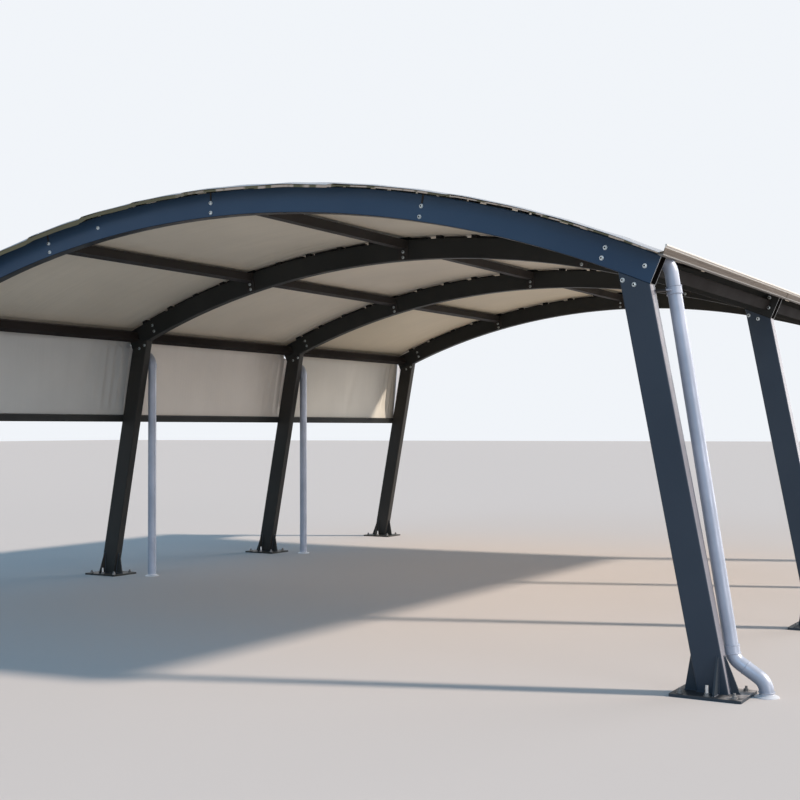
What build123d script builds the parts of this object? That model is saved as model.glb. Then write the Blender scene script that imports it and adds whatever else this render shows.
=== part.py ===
from build123d import *
from math import asin, atan2, cos, degrees, radians, sin, tan
import os

# Carport of four arched frames: a fabric roof, an open side and a low curtain on the other.
# X runs along the span, Y from the front frame to the back one, Z up from the ground.
# Sizes are in millimetres and angles in degrees.

os.makedirs("parts", exist_ok=True)

# Frames
frame_count = 4
bay = 2430
ridge_height = 2890
arch_radius = 7490
eave_half_span = 3010
foot_spread = 335

# Rectangular tube of the beams and posts
tube_depth = 160
tube_width = 80
tube_wall = 5
tube_corner = 8

# Base plates
plate_length = 370
plate_width = 300
plate_thickness = 15
plate_corner = 6
plate_toe = 90
anchor_hole = 18
anchor_pitch_x = 140
anchor_pitch_y = 210
gusset_thickness = 10
gusset_height = 185
gusset_foot = 75
gusset_outer_foot = 45
gusset_nose = 8
side_gusset_inset = 60

# Purlins
purlin_size = 70
purlin_wall = 4
purlin_spacing = 1595
purlin_plate_width = 90
purlin_plate_height = 155
purlin_plate_thickness = 8
purlin_drain = 20
eave_purlin_inset = 85

# Roof fabric and the clips that it stands on
roof_gap = 26
fabric_thickness = 5
roof_overhang = 90
roof_lip = 22
clips_per_purlin = 5
clip_width = 46
wide_clip_width = 92
clip_depth = 60

# Gutters
gutter_sheet = 3
gutter_flange = 60
gutter_drop = 14
gutter_bottom_start = 20
gutter_bottom_end = 38
gutter_reach = 56
gutter_rise = 38
gutter_bead = 4
gutter_lip = 6
stop_end_rise = 10
gutter_joint = 2
outlet_length = 60
outlet_width = 10

# Downpipes
pipe_diameter = 75
pipe_wall = 3
pipe_bend = 90
pipe_trim = 20
pipe_collar_length = 44
pipe_collar_rise = 4
pipe_flange_diameter = 126
pipe_flange_height = 14
pipe_flange_lip = 4
clamp_seat = 16
clamp_width = 30
clamp_thickness = 8
pipe_foot_gap = 2
right_pipe_offset = 80
right_pipe_outlet_inset = 18
right_pipe_neck_drop = 50
right_pipe_neck_gap = 89
right_pipe_knee_height = 180
right_pipe_knee_gap = 21
right_pipe_low_bend_height = 72
right_upper_collar_drop = 160
right_lower_collar_height = 226
left_pipe_offset = 85
left_pipe_neck_drop = 234
left_pipe_head_drop = 46
left_pipe_head_bend = 40
left_collar_drop = 289

# Side curtain
rail_height = 60
rail_depth = 40
rail_wall = 3
rail_centre_drop = 780
rail_overrun = 60
curtain_thickness = 4
curtain_top_gap = 0.5
curtain_lap = 40
curtain_pipe_gap = 10

# Places worked out from the sizes
arch_centre_z = ridge_height - arch_radius
arch_inner_radius = arch_radius - tube_depth
arch_half_angle = degrees(asin(eave_half_span / arch_radius))
fabric_radius = arch_radius + roof_gap
eave_x = arch_inner_radius * sin(radians(arch_half_angle))
eave_z = arch_centre_z + arch_inner_radius * cos(radians(arch_half_angle))
foot_half_span = eave_half_span + foot_spread
lean = atan2(foot_half_span - eave_x, eave_z)
post_span = tube_depth / cos(lean)
plate_reach = foot_half_span + plate_toe
plate_centre = plate_reach - plate_length / 2
purlin_angle = degrees(purlin_spacing / arch_radius)
clip_pitch = purlin_spacing / clips_per_purlin
clip_reach = arch_radius * radians(arch_half_angle) - gutter_flange - clip_width / 2
clip_rows_each_side = int(clip_reach / clip_pitch)
pipe_radius = pipe_diameter / 2
right_pipe_foot = plate_reach + pipe_foot_gap + pipe_flange_diameter / 2
pipe_reach = right_pipe_foot + pipe_flange_diameter / 2
middle_x = (plate_reach - pipe_reach) / 2
first_y = -bay * (frame_count - 1) / 2
frame_y = [first_y + bay * n for n in range(frame_count)]
front_y = frame_y[0] - tube_width / 2 - roof_overhang
back_y = frame_y[-1] + tube_width / 2 + roof_overhang
sides = {"right": 1, "left": -1}


def section(y, side=1):
    """Upright plane across the span: its first axis points outwards on that side."""
    return Plane(origin=(middle_x, y, 0), x_dir=(side, 0, 0), z_dir=(0, -side, 0))


def on_arch(radius, angle):
    """Point at an angle from the crown, measured about the arch's centre."""
    turn = radians(angle)
    return (radius * sin(turn), arch_centre_z + radius * cos(turn))


def ring_sector(outer, inner, start, end):
    """Edges of the part of a ring about the arch's centre that lies between two angles."""
    with BuildLine(Plane.XY) as outline:
        top = CenterArc((0, arch_centre_z), outer, 90 - end, end - start)
        bottom = CenterArc((0, arch_centre_z), inner, 90 - end, end - start)
        Line(top @ 0, bottom @ 0)
        Line(top @ 1, bottom @ 1)
    return outline.edges()


def closed_outline(*points):
    """Edges of a closed polygon."""
    with BuildLine(Plane.XY) as outline:
        Polyline(*points, close=True)
    return outline.edges()


def outer_face(height):
    """Distance of a post's outer face from the middle of the span at a height."""
    return foot_half_span - height * tan(lean)


def inner_face(height):
    """Distance of a post's inner face from the middle of the span at a height."""
    return outer_face(height) - post_span


def save(builder, name):
    """Label a finished piece and write it as its own file."""
    builder.part.label = name
    export_step(builder.part, f"parts/{name}.step")


def make_beam(y):
    """Curved rectangular tube with square, open ends."""
    with BuildPart() as beam:
        with BuildSketch(section(y)):
            make_face(ring_sector(arch_radius, arch_inner_radius, -arch_half_angle, arch_half_angle))
        extrude(amount=tube_width / 2, both=True)
        fillet(beam.edges().filter_by(GeomType.CIRCLE), tube_corner)
        with BuildSketch(section(y)):
            make_face(
                ring_sector(
                    arch_radius - tube_wall,
                    arch_inner_radius + tube_wall,
                    -arch_half_angle,
                    arch_half_angle,
                )
            )
        extrude(amount=tube_width / 2 - tube_wall, both=True, mode=Mode.SUBTRACT)
    return beam


def post_outline(inset):
    """Edges of a leaning post, inset from both of its long faces and run on past the beam."""
    inset_span = inset / cos(lean)
    top = ridge_height
    return closed_outline(
        (outer_face(plate_thickness) - inset_span, plate_thickness),
        (outer_face(top) - inset_span, top),
        (inner_face(top) + inset_span, top),
        (inner_face(plate_thickness) + inset_span, plate_thickness),
    )


def make_post(y, side):
    """Leaning rectangular tube, cut level at the plate and along the beam's underside."""
    with BuildPart() as post:
        with BuildSketch(section(y, side)):
            make_face(post_outline(0))
        extrude(amount=tube_width / 2, both=True)
        fillet(post.edges().sort_by(Edge.length)[-4:], tube_corner)
        with BuildSketch(section(y, side)):
            make_face(post_outline(tube_wall))
        extrude(amount=tube_width / 2 - tube_wall, both=True, mode=Mode.SUBTRACT)
        with BuildSketch(section(y, side)):
            with Locations((0, arch_centre_z)):
                Circle(arch_inner_radius)
        extrude(amount=tube_width, both=True, mode=Mode.INTERSECT)
    return post


def make_base(y, side):
    """Base plate with anchor holes and four triangular gussets."""
    plate_plane = Plane(origin=(middle_x + side * plate_centre, y, 0), x_dir=(side, 0, 0))
    side_gusset_x = foot_half_span - side_gusset_inset
    cross_plane = Plane(
        origin=(middle_x + side * side_gusset_x, y, 0), x_dir=(0, 1, 0), z_dir=(1, 0, 0)
    )
    gusset_top = plate_thickness + gusset_height
    face_y = tube_width / 2
    with BuildPart() as base:
        with BuildSketch(plate_plane):
            RectangleRounded(plate_length, plate_width, plate_corner)
            with GridLocations(anchor_pitch_x, anchor_pitch_y, 3, 2):
                Circle(anchor_hole / 2, mode=Mode.SUBTRACT)
        extrude(amount=plate_thickness)
        with BuildSketch(section(y, side)):
            make_face(
                closed_outline(
                    (inner_face(plate_thickness), plate_thickness),
                    (inner_face(gusset_top), gusset_top),
                    (inner_face(gusset_top) - gusset_nose, gusset_top),
                    (inner_face(plate_thickness) - gusset_foot, plate_thickness + gusset_nose),
                    (inner_face(plate_thickness) - gusset_foot, plate_thickness),
                )
            )
            make_face(
                closed_outline(
                    (outer_face(plate_thickness), plate_thickness),
                    (outer_face(gusset_top), gusset_top),
                    (outer_face(gusset_top) + gusset_nose, gusset_top),
                    (outer_face(plate_thickness) + gusset_outer_foot, plate_thickness + gusset_nose),
                    (outer_face(plate_thickness) + gusset_outer_foot, plate_thickness),
                )
            )
        extrude(amount=gusset_thickness / 2, both=True)
        with BuildSketch(cross_plane):
            for hand in (1, -1):
                make_face(
                    closed_outline(
                        (hand * face_y, plate_thickness),
                        (hand * face_y, gusset_top),
                        (hand * (face_y + gusset_nose), gusset_top),
                        (hand * (face_y + gusset_foot), plate_thickness + gusset_nose),
                        (hand * (face_y + gusset_foot), plate_thickness),
                    )
                )
        extrude(amount=gusset_thickness / 2, both=True)
    return base


def bay_middles():
    """Depth of the middle of each bay."""
    return [(start + end) / 2 for start, end in zip(frame_y, frame_y[1:])]


def make_tube_line(side, angle, centre, plate_middle, plate_width, plate_height):
    """Square tubes between the beams, one for each bay, with drained end plates."""
    half_length = (bay - tube_width) / 2
    bore = purlin_size - 2 * purlin_wall
    with BuildPart() as line:
        for y in bay_middles():
            with BuildSketch(section(y, side)):
                with Locations(Location((*centre, 0), (0, 0, -angle))):
                    Rectangle(purlin_size, purlin_size)
                    Rectangle(bore, bore, mode=Mode.SUBTRACT)
            extrude(amount=half_length, both=True)
            for end in (-1, 1):
                plate_y = y + end * (half_length - purlin_plate_thickness / 2)
                with BuildSketch(section(plate_y, side)):
                    with Locations(Location((*plate_middle, 0), (0, 0, -angle))):
                        Rectangle(plate_width, plate_height)
                    with Locations(centre):
                        Circle(purlin_drain / 2, mode=Mode.SUBTRACT)
                extrude(amount=purlin_plate_thickness / 2, both=True)
    return line


def make_purlin(angle):
    """Roof purlins, level with the beams' tops, whose end plates reach down for their bolts."""
    centre = on_arch(arch_radius - purlin_size / 2, angle)
    plate_middle = on_arch(arch_radius - purlin_plate_height / 2, angle)
    return make_tube_line(1, angle, centre, plate_middle, purlin_plate_width, purlin_plate_height)


def make_eave_purlin(side):
    """Eave purlins between the beam ends, centred in the beam's depth."""
    angle = arch_half_angle - degrees(eave_purlin_inset / arch_radius)
    centre = on_arch(arch_radius - tube_depth / 2, angle)
    return make_tube_line(side, angle, centre, centre, purlin_size, purlin_size)


def make_clips(y):
    """Blocks that hold the roof fabric clear of a beam, wider ones over the purlins."""
    with BuildPart() as clips:
        for row in range(-clip_rows_each_side, clip_rows_each_side + 1):
            width = clip_width if row % clips_per_purlin else wide_clip_width
            half = degrees(width / 2 / arch_radius)
            angle = degrees(row * clip_pitch / arch_radius)
            with BuildSketch(section(y)):
                make_face(ring_sector(fabric_radius, arch_radius, angle - half, angle + half))
            extrude(amount=clip_depth / 2, both=True)
    return clips


def make_roof(start, end):
    """Curved fabric panel of one bay, from eave to eave."""
    half = arch_half_angle + degrees(roof_lip / arch_radius)
    with BuildPart() as roof:
        with BuildSketch(section((start + end) / 2)):
            make_face(ring_sector(fabric_radius + fabric_thickness, fabric_radius, -half, half))
        extrude(amount=(end - start) / 2, both=True)
    return roof


def eave_point(out, up):
    """Point measured from the top outer corner of a beam's end."""
    corner = on_arch(arch_radius, arch_half_angle)
    return (corner[0] + out, corner[1] + up)


def gutter_line():
    """Lower face of the gutter's sheet, from the flange on the beams to the outer lip."""
    turn = radians(arch_half_angle)
    return [
        eave_point(-gutter_flange * cos(turn), gutter_flange * sin(turn)),
        eave_point(0, 0),
        eave_point(gutter_bottom_start, -gutter_drop),
        eave_point(gutter_bottom_end, -gutter_drop),
        eave_point(gutter_reach, gutter_rise),
    ]


def stop_end_outline():
    """Edges of the plate that closes the lower part of the trough at a free end."""
    share = (stop_end_rise + gutter_drop) / (gutter_rise + gutter_drop)
    wall_out = gutter_bottom_end + share * (gutter_reach - gutter_bottom_end)
    return closed_outline(*gutter_line()[1:-1], eave_point(wall_out, stop_end_rise))


def make_gutter(side, outlet_depths):
    """Folded eave gutter in one length for each bay, with beads, stop ends and outlets."""
    line = gutter_line()
    bead = eave_point(gutter_bottom_end, gutter_bead - gutter_drop)
    limits = [front_y, *frame_y[1:-1], back_y]
    with BuildPart() as gutter:
        for start, end in zip(limits, limits[1:]):
            start_y = start if start == front_y else start + gutter_joint / 2
            end_y = end if end == back_y else end - gutter_joint / 2
            with BuildSketch(section((start_y + end_y) / 2, side)):
                with BuildLine():
                    sheet = Polyline(*line)
                    offset(sheet, amount=gutter_sheet, side=Side.LEFT)
                make_face()
                with Locations(bead):
                    Circle(gutter_bead)
                with Locations(line[-1]):
                    Circle(gutter_lip)
            extrude(amount=(end_y - start_y) / 2, both=True)
        for end_y in (front_y + gutter_sheet / 2, back_y - gutter_sheet / 2):
            with BuildSketch(section(end_y, side)):
                make_face(stop_end_outline())
            extrude(amount=gutter_sheet / 2, both=True)
        for depth in outlet_depths:
            with BuildSketch(Plane(origin=(middle_x + side * outlet_x, depth, 0))):
                SlotOverall(outlet_length, outlet_width, rotation=90)
            extrude(amount=ridge_height, mode=Mode.SUBTRACT)
    return gutter


def foot_outline(x):
    """Half section of the flange on which a pipe stands, at a distance from the middle."""
    return closed_outline(
        (x, 0),
        (x + pipe_flange_diameter / 2, 0),
        (x + pipe_flange_diameter / 2, pipe_flange_lip),
        (x + pipe_radius + pipe_collar_rise, pipe_flange_height),
        (x, pipe_flange_height),
    )


def run_point(low, high, height):
    """Distance from the middle, at a height, of the straight line through two points."""
    return low[0] + (high[0] - low[0]) * (height - low[1]) / (high[1] - low[1])


def above_gutter():
    """Edges of the region above the gutter's underside, which no pipe enters."""
    line = gutter_line()[:-1]
    far_x = eave_point(ridge_height, 0)[0]
    return closed_outline(
        *line, (far_x, gutter_underside), (far_x, ridge_height), (line[0][0], ridge_height)
    )


def make_pipe(y, side, points, bends, run, collar_heights, bar, bar_ends):
    """Downpipe along its route, with collars, a foot flange and a bar that ties it to its post."""
    high, low = points[run], points[run + 1]
    direction = Vector(side * (high[0] - low[0]), 0, high[1] - low[1])
    foot_x = points[-1][0]
    with BuildPart() as pipe:
        with BuildLine(section(y, side)) as route:
            FilletPolyline(*points, radius=bends)
        start = Plane(origin=route.line @ 0, z_dir=route.line % 0)
        with BuildSketch(start):
            Circle(pipe_radius)
        sweep(path=route.line)
        for height in collar_heights:
            centre = (middle_x + side * run_point(low, high, height), y, height)
            with BuildSketch(Plane(origin=centre, z_dir=direction)):
                Circle(pipe_radius + pipe_collar_rise)
            extrude(amount=pipe_collar_length / 2, both=True)
        with BuildSketch(section(y, side)):
            make_face(foot_outline(foot_x))
        revolve(axis=Axis((middle_x + side * foot_x, y, 0), (0, 0, 1)))
        with BuildSketch(section(sum(bar_ends) / 2, side)):
            make_face(closed_outline(*bar))
        extrude(amount=abs(bar_ends[1] - bar_ends[0]) / 2, both=True)
        with BuildSketch(start):
            Circle(pipe_radius - pipe_wall)
        sweep(path=route.line, mode=Mode.SUBTRACT)
        with BuildSketch(section(y, side)):
            make_face(above_gutter())
        extrude(amount=pipe_diameter, both=True, mode=Mode.SUBTRACT)
    return pipe


def pipe_start(top_x, next_point):
    """Start of a route, beyond the gutter's underside, to which the pipe's top is cut."""
    height = gutter_underside + pipe_trim
    return (run_point(next_point, (top_x, gutter_underside), height), height)


def make_right_pipe(frame, inward):
    """Pipe that leans like its post, beyond the post's outer face, and steps out at the foot."""
    neck_height = gutter_underside - right_pipe_neck_drop
    collar_height = gutter_underside - right_upper_collar_drop
    neck = (outer_face(neck_height) + right_pipe_neck_gap, neck_height)
    points = [
        pipe_start(eave_half_span - right_pipe_outlet_inset, neck),
        neck,
        (outer_face(right_pipe_knee_height) + right_pipe_knee_gap, right_pipe_knee_height),
        (right_pipe_foot, right_pipe_low_bend_height),
        (right_pipe_foot, 0),
    ]
    low, high = collar_height - clamp_thickness / 2, collar_height + clamp_thickness / 2
    axis_x = run_point(points[2], points[1], collar_height)
    bar = [(outer_face(low), low), (axis_x, low), (axis_x, high), (outer_face(high), high)]
    bar_start = frame + inward * (tube_width / 2 - clamp_seat)
    return make_pipe(
        frame + inward * right_pipe_offset,
        1,
        points,
        pipe_bend,
        1,
        (collar_height, right_lower_collar_height),
        bar,
        (bar_start, frame + inward * right_pipe_offset),
    )


def make_left_pipe(frame):
    """Upright pipe behind its post, bent outwards under the eave to reach the gutter."""
    head = (outlet_x, gutter_underside - left_pipe_head_drop)
    collar_height = gutter_underside - left_collar_drop
    pipe_x = inner_face(collar_height)
    points = [
        pipe_start(outlet_x, head),
        head,
        (pipe_x, gutter_underside - left_pipe_neck_drop),
        (pipe_x, 0),
    ]
    low, high = collar_height - clamp_thickness / 2, collar_height + clamp_thickness / 2
    far_x = pipe_x + clamp_width
    return make_pipe(
        frame + left_pipe_offset,
        -1,
        points,
        (left_pipe_head_bend, pipe_bend),
        2,
        (collar_height,),
        [(pipe_x, low), (far_x, low), (far_x, high), (pipe_x, high)],
        (frame + tube_width / 2, frame + left_pipe_offset),
    )


def rail_point(along, out):
    """Point measured from the middle of the rail's seat on the posts, down the face and outwards."""
    height = gutter_underside - rail_centre_drop
    seat = (outer_face(height), height)
    return (
        seat[0] + along * sin(lean) + out * cos(lean),
        seat[1] - along * cos(lean) + out * sin(lean),
    )


def make_rail():
    """Rectangular tube along the outer faces of the left posts, at the curtain's lower edge."""
    with BuildPart() as rail:
        with BuildSketch(section((frame_y[0] + frame_y[-1]) / 2, -1)):
            with Locations(Location((*rail_point(0, rail_depth / 2), 0), (0, 0, degrees(lean)))):
                Rectangle(rail_depth, rail_height)
                Rectangle(
                    rail_depth - 2 * rail_wall, rail_height - 2 * rail_wall, mode=Mode.SUBTRACT
                )
        extrude(amount=(frame_y[-1] - frame_y[0]) / 2 + rail_overrun, both=True)
    return rail


def make_curtain(start, end):
    """Fabric panel of one bay, from the gutter down over the rail's outer face."""
    gutter_seat = eave_point(
        gutter_bottom_start + curtain_thickness, -gutter_drop - curtain_top_gap
    )
    with BuildPart() as curtain:
        with BuildSketch(section((start + end) / 2, -1)):
            with BuildLine():
                sheet = Polyline(
                    gutter_seat,
                    rail_point(-rail_height / 2, rail_depth),
                    rail_point(rail_height / 2, rail_depth),
                )
                offset(sheet, amount=curtain_thickness, side=Side.LEFT)
            make_face()
        extrude(amount=(end - start) / 2, both=True)
    return curtain


outlet_x, gutter_underside = eave_point((gutter_bottom_start + gutter_bottom_end) / 2, -gutter_drop)
right_pipe_frames = {1: 1, frame_count: -1}
left_pipe_frames = range(2, frame_count)

for number, y in enumerate(frame_y, 1):
    save(make_beam(y), f"arch_beam_{number}")
    save(make_clips(y), f"roof_clips_{number}")
    for side_name, side in sides.items():
        save(make_post(y, side), f"post_{side_name}_{number}")
        save(make_base(y, side), f"base_plate_{side_name}_{number}")

save(make_purlin(-purlin_angle), "purlin_left")
save(make_purlin(0), "purlin_ridge")
save(make_purlin(purlin_angle), "purlin_right")
for side_name, side in sides.items():
    save(make_eave_purlin(side), f"eave_purlin_{side_name}")

roof_limits = [front_y, *frame_y[1:-1], back_y]
for number, (start, end) in enumerate(zip(roof_limits, roof_limits[1:]), 1):
    save(make_roof(start, end), f"roof_fabric_{number}")

right_outlets = [frame_y[n - 1] + inward * right_pipe_offset for n, inward in right_pipe_frames.items()]
left_outlets = [frame_y[n - 1] + left_pipe_offset for n in left_pipe_frames]
save(make_gutter(1, right_outlets), "gutter_right")
save(make_gutter(-1, left_outlets), "gutter_left")
for number, inward in right_pipe_frames.items():
    save(make_right_pipe(frame_y[number - 1], inward), f"downpipe_right_{number}")
for number in left_pipe_frames:
    save(make_left_pipe(frame_y[number - 1]), f"downpipe_left_{number}")

save(make_rail(), "curtain_rail")
for number, (start, end) in enumerate(zip(frame_y, frame_y[1:]), 1):
    pipe_room = left_pipe_offset + pipe_radius + curtain_pipe_gap
    first_edge = start + pipe_room if number in left_pipe_frames else start - curtain_lap
    save(make_curtain(first_edge, end + curtain_lap), f"side_curtain_{number}")
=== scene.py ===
# %% [markdown]
# # A carport of arched frames
# The solids of the carport come from CAD and stay where they are. This lesson gives them their
# finish, puts fabric in place of the plain fabric solids, and adds the bolts, welds, hems and
# rings that a person sees from a few steps away. All lengths are in metres.

# %% Load the frame
import random
from math import asin, ceil, cos, degrees, pi, radians, sin, tan

import bpy
from mathutils import Matrix, Vector


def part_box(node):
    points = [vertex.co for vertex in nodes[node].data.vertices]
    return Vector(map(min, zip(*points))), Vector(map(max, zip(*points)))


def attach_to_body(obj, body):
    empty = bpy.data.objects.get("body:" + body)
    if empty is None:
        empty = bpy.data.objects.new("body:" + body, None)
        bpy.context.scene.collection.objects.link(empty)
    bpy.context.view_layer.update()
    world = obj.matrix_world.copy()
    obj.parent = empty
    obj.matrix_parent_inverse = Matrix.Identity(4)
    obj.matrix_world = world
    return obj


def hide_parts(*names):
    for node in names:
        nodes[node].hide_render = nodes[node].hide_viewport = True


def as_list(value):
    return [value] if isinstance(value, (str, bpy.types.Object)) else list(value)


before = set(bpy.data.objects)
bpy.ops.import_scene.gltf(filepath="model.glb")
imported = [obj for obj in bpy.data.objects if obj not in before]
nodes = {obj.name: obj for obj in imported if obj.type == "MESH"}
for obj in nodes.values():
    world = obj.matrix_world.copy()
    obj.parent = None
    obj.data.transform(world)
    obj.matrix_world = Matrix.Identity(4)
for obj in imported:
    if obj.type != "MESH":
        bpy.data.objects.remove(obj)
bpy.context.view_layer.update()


def rounded(numbers):
    """Numbers to the millimetre, for printing."""
    return [round(number, 3) for number in numbers]


# %% [markdown]
# ## Where things are
# The arch is one circle seen from the front. Its centre lies far below the ground, so a point on
# the roof is easiest to name by its angle from the crown and its distance from that centre. The
# boxes of the CAD nodes give the middle of the span, the crown and the depths of the frames, so
# these aren't written down a second time.

# %% Places
beam_radius = 7.490
beam_inner_radius = 7.330
fabric_radius = 7.5185
fabric_outer_radius = 7.521
frame_count = 4
tube_width = 0.080
tube_depth = beam_radius - beam_inner_radius
purlin_arc = 1.595

roof_low, roof_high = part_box("roof_fabric_1")
beam_low, beam_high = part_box("arch_beam_1")
middle_x = (beam_low.x + beam_high.x) / 2
centre_z = beam_high.z - beam_radius
beam_boxes = [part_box(f"arch_beam_{number}") for number in range(1, frame_count + 1)]
frame_y = [(low.y + high.y) / 2 for low, high in beam_boxes]
bay = frame_y[1] - frame_y[0]
half_angle = asin((roof_high.x - middle_x) / fabric_outer_radius)
arc_length = 2 * half_angle * fabric_radius
side_of = {"right": 1, "left": -1}


def on_arch(radius, angle, y):
    """Point at an angle, in radians, from the crown of the arch."""
    return Vector((middle_x + radius * sin(angle), y, centre_z + radius * cos(angle)))


print("frames at", rounded(frame_y), "half angle", round(degrees(half_angle), 2))

# %% [markdown]
# ## Camera
# The photograph was taken from the front right at eye height with a short tele lens. A camera can
# be placed by eye until the picture fits. Here its place and turns were fitted to the edges of the
# arches and posts, so the render lines up with the photograph. Turning about Z, then tilting, then
# rolling is easiest to read as a product of matrices.

# %% Camera
camera_place = Vector((5.109, -9.944, 1.356))
camera_turn = radians(30.95)
camera_tilt = radians(1.35)
camera_roll = radians(-0.17)


def add_object(name, data):
    """Object for a mesh, a lamp or a camera, in the scene."""
    item = bpy.data.objects.new(name, data)
    bpy.context.scene.collection.objects.link(item)
    return item


lens = bpy.data.cameras.new("photo_view")
lens.sensor_width = 36.0
lens.lens = 56.18
lens.clip_end = 400.0
camera = add_object("photo_view", lens)
camera.matrix_world = (
    Matrix.Translation(camera_place)
    @ Matrix.Rotation(camera_turn, 4, "Z")
    @ Matrix.Rotation(pi / 2 + camera_tilt, 4, "X")
    @ Matrix.Rotation(camera_roll, 4, "Z")
)
bpy.context.scene.camera = camera
bpy.context.scene.view_settings.view_transform = "Standard"
print("camera at", rounded(camera_place), "with a lens of", lens.lens, "mm")

# %% [markdown]
# ## World
# The world fills the shadows. A picture of a sky could do that too, but it would bring its own
# backdrop. Here camera, glossy and transmission rays see a plain pale one, while the light that
# falls on the object is weaker and blue, as it is under a clear sky. The Light Path node tells
# the two kinds of ray apart.


# %% World
def add_node(tree, kind, inputs=None, **settings):
    """Add a node, set its plain properties, and join its inputs to sockets or give them values."""
    node = tree.nodes.new(kind)
    for name, value in settings.items():
        setattr(node, name, value)
    for key, value in (inputs or {}).items():
        if isinstance(value, bpy.types.NodeSocket):
            tree.links.new(value, node.inputs[key])
        else:
            node.inputs[key].default_value = value
    return node


def maths(tree, operation, *values):
    """One step of arithmetic on sockets or plain numbers."""
    return add_node(tree, "ShaderNodeMath", dict(enumerate(values)), operation=operation).outputs[0]


backdrop_colour = (0.88, 0.91, 0.95)
fill_colour = (0.31, 0.65, 1.0)
fill_strength = 0.43

world = bpy.data.worlds.new("studio")
world.use_nodes = True
sky = world.node_tree
sky.nodes.clear()
rays = add_node(sky, "ShaderNodeLightPath").outputs
seen_or_glossy = maths(sky, "MAXIMUM", rays["Is Camera Ray"], rays["Is Glossy Ray"])
seen = maths(sky, "MAXIMUM", seen_or_glossy, rays["Is Transmission Ray"])
backdrop = add_node(sky, "ShaderNodeBackground", {"Color": (*backdrop_colour, 1)})
fill = add_node(sky, "ShaderNodeBackground", {"Color": (*fill_colour, 1), "Strength": fill_strength})
choose = add_node(sky, "ShaderNodeMixShader", {0: seen, 1: fill.outputs[0], 2: backdrop.outputs[0]})
add_node(sky, "ShaderNodeOutputWorld", {"Surface": choose.outputs[0]})
bpy.context.scene.world = world
print("world fill of", fill_strength)

# %% [markdown]
# ## Lamps
# Four soft suns do the rest. Area lamps would light the near end more than the far one, and a sun
# doesn't. The warm one from the right casts the shadow on the floor. A low one from behind on the
# right is mirrored by the outer faces of the posts, which is why they look almost white. A flat
# one from the right puts the highlight on the round pipes, and a weak blue one from the front
# colours the faces that look at the viewer.


# %% Lamps
def add_sun(name, aim, energy, spread, colour):
    """Add a soft sun that shines along a direction."""
    data = bpy.data.lights.new(name, "SUN")
    data.energy = energy
    data.angle = radians(spread)
    data.color = colour
    lamp = add_object(name, data)
    lamp.rotation_euler = Vector(aim).to_track_quat("-Z", "Y").to_euler()


add_sun("sun_from_the_right", (-0.74, -0.33, -0.62), 3.5, 4, (1.0, 0.89, 0.77))
add_sun("glow_from_behind", (-0.48, -0.857, -0.188), 1.1, 36, (1.0, 0.96, 0.94))
add_sun("light_along_the_floor", (-0.93, 0.34, -0.13), 0.65, 24, (0.98, 0.97, 1.0))
add_sun("fill_from_the_front", (-0.22, 0.85, -0.42), 0.40, 25, (0.45, 0.72, 1.0))

# %% [markdown]
# ## Floor
# One plain, pale square catches the shadows. Its four corners are written down, because a mesh
# of one face needs no primitive, and it is wide enough to reach the horizon.

# %% Floor
floor_size = 240.0
floor_colour = (0.65, 0.585, 0.55)
floor_mesh = bpy.data.meshes.new("floor")
half = floor_size / 2
floor_corners = [(-half, -half, 0), (half, -half, 0), (half, half, 0), (-half, half, 0)]
floor_mesh.from_pydata(floor_corners, [], [(0, 1, 2, 3)])
floor = add_object("floor", floor_mesh)
floor_paint = bpy.data.materials.new("floor_paint")
floor_paint.use_nodes = True
floor_shader = floor_paint.node_tree.nodes["Principled BSDF"]
floor_shader.inputs["Base Color"].default_value = (*floor_colour, 1)
floor_shader.inputs["Roughness"].default_value = 0.95
floor_shader.inputs["Specular IOR Level"].default_value = 0.1
floor_mesh.materials.append(floor_paint)
print("floor", floor_size, "m across")

# %% [markdown]
# ## Helpers for materials
# Every finish here starts from the Principled shader and reads Object coordinates, which are
# metres in the object's own frame. Pictures could give the finish too, but noise needs no file
# and has no seams. A cloudy noise gives colour its slow changes, and a fine one gives a bump. The
# helpers keep each material down to the lines that make it special.


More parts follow.
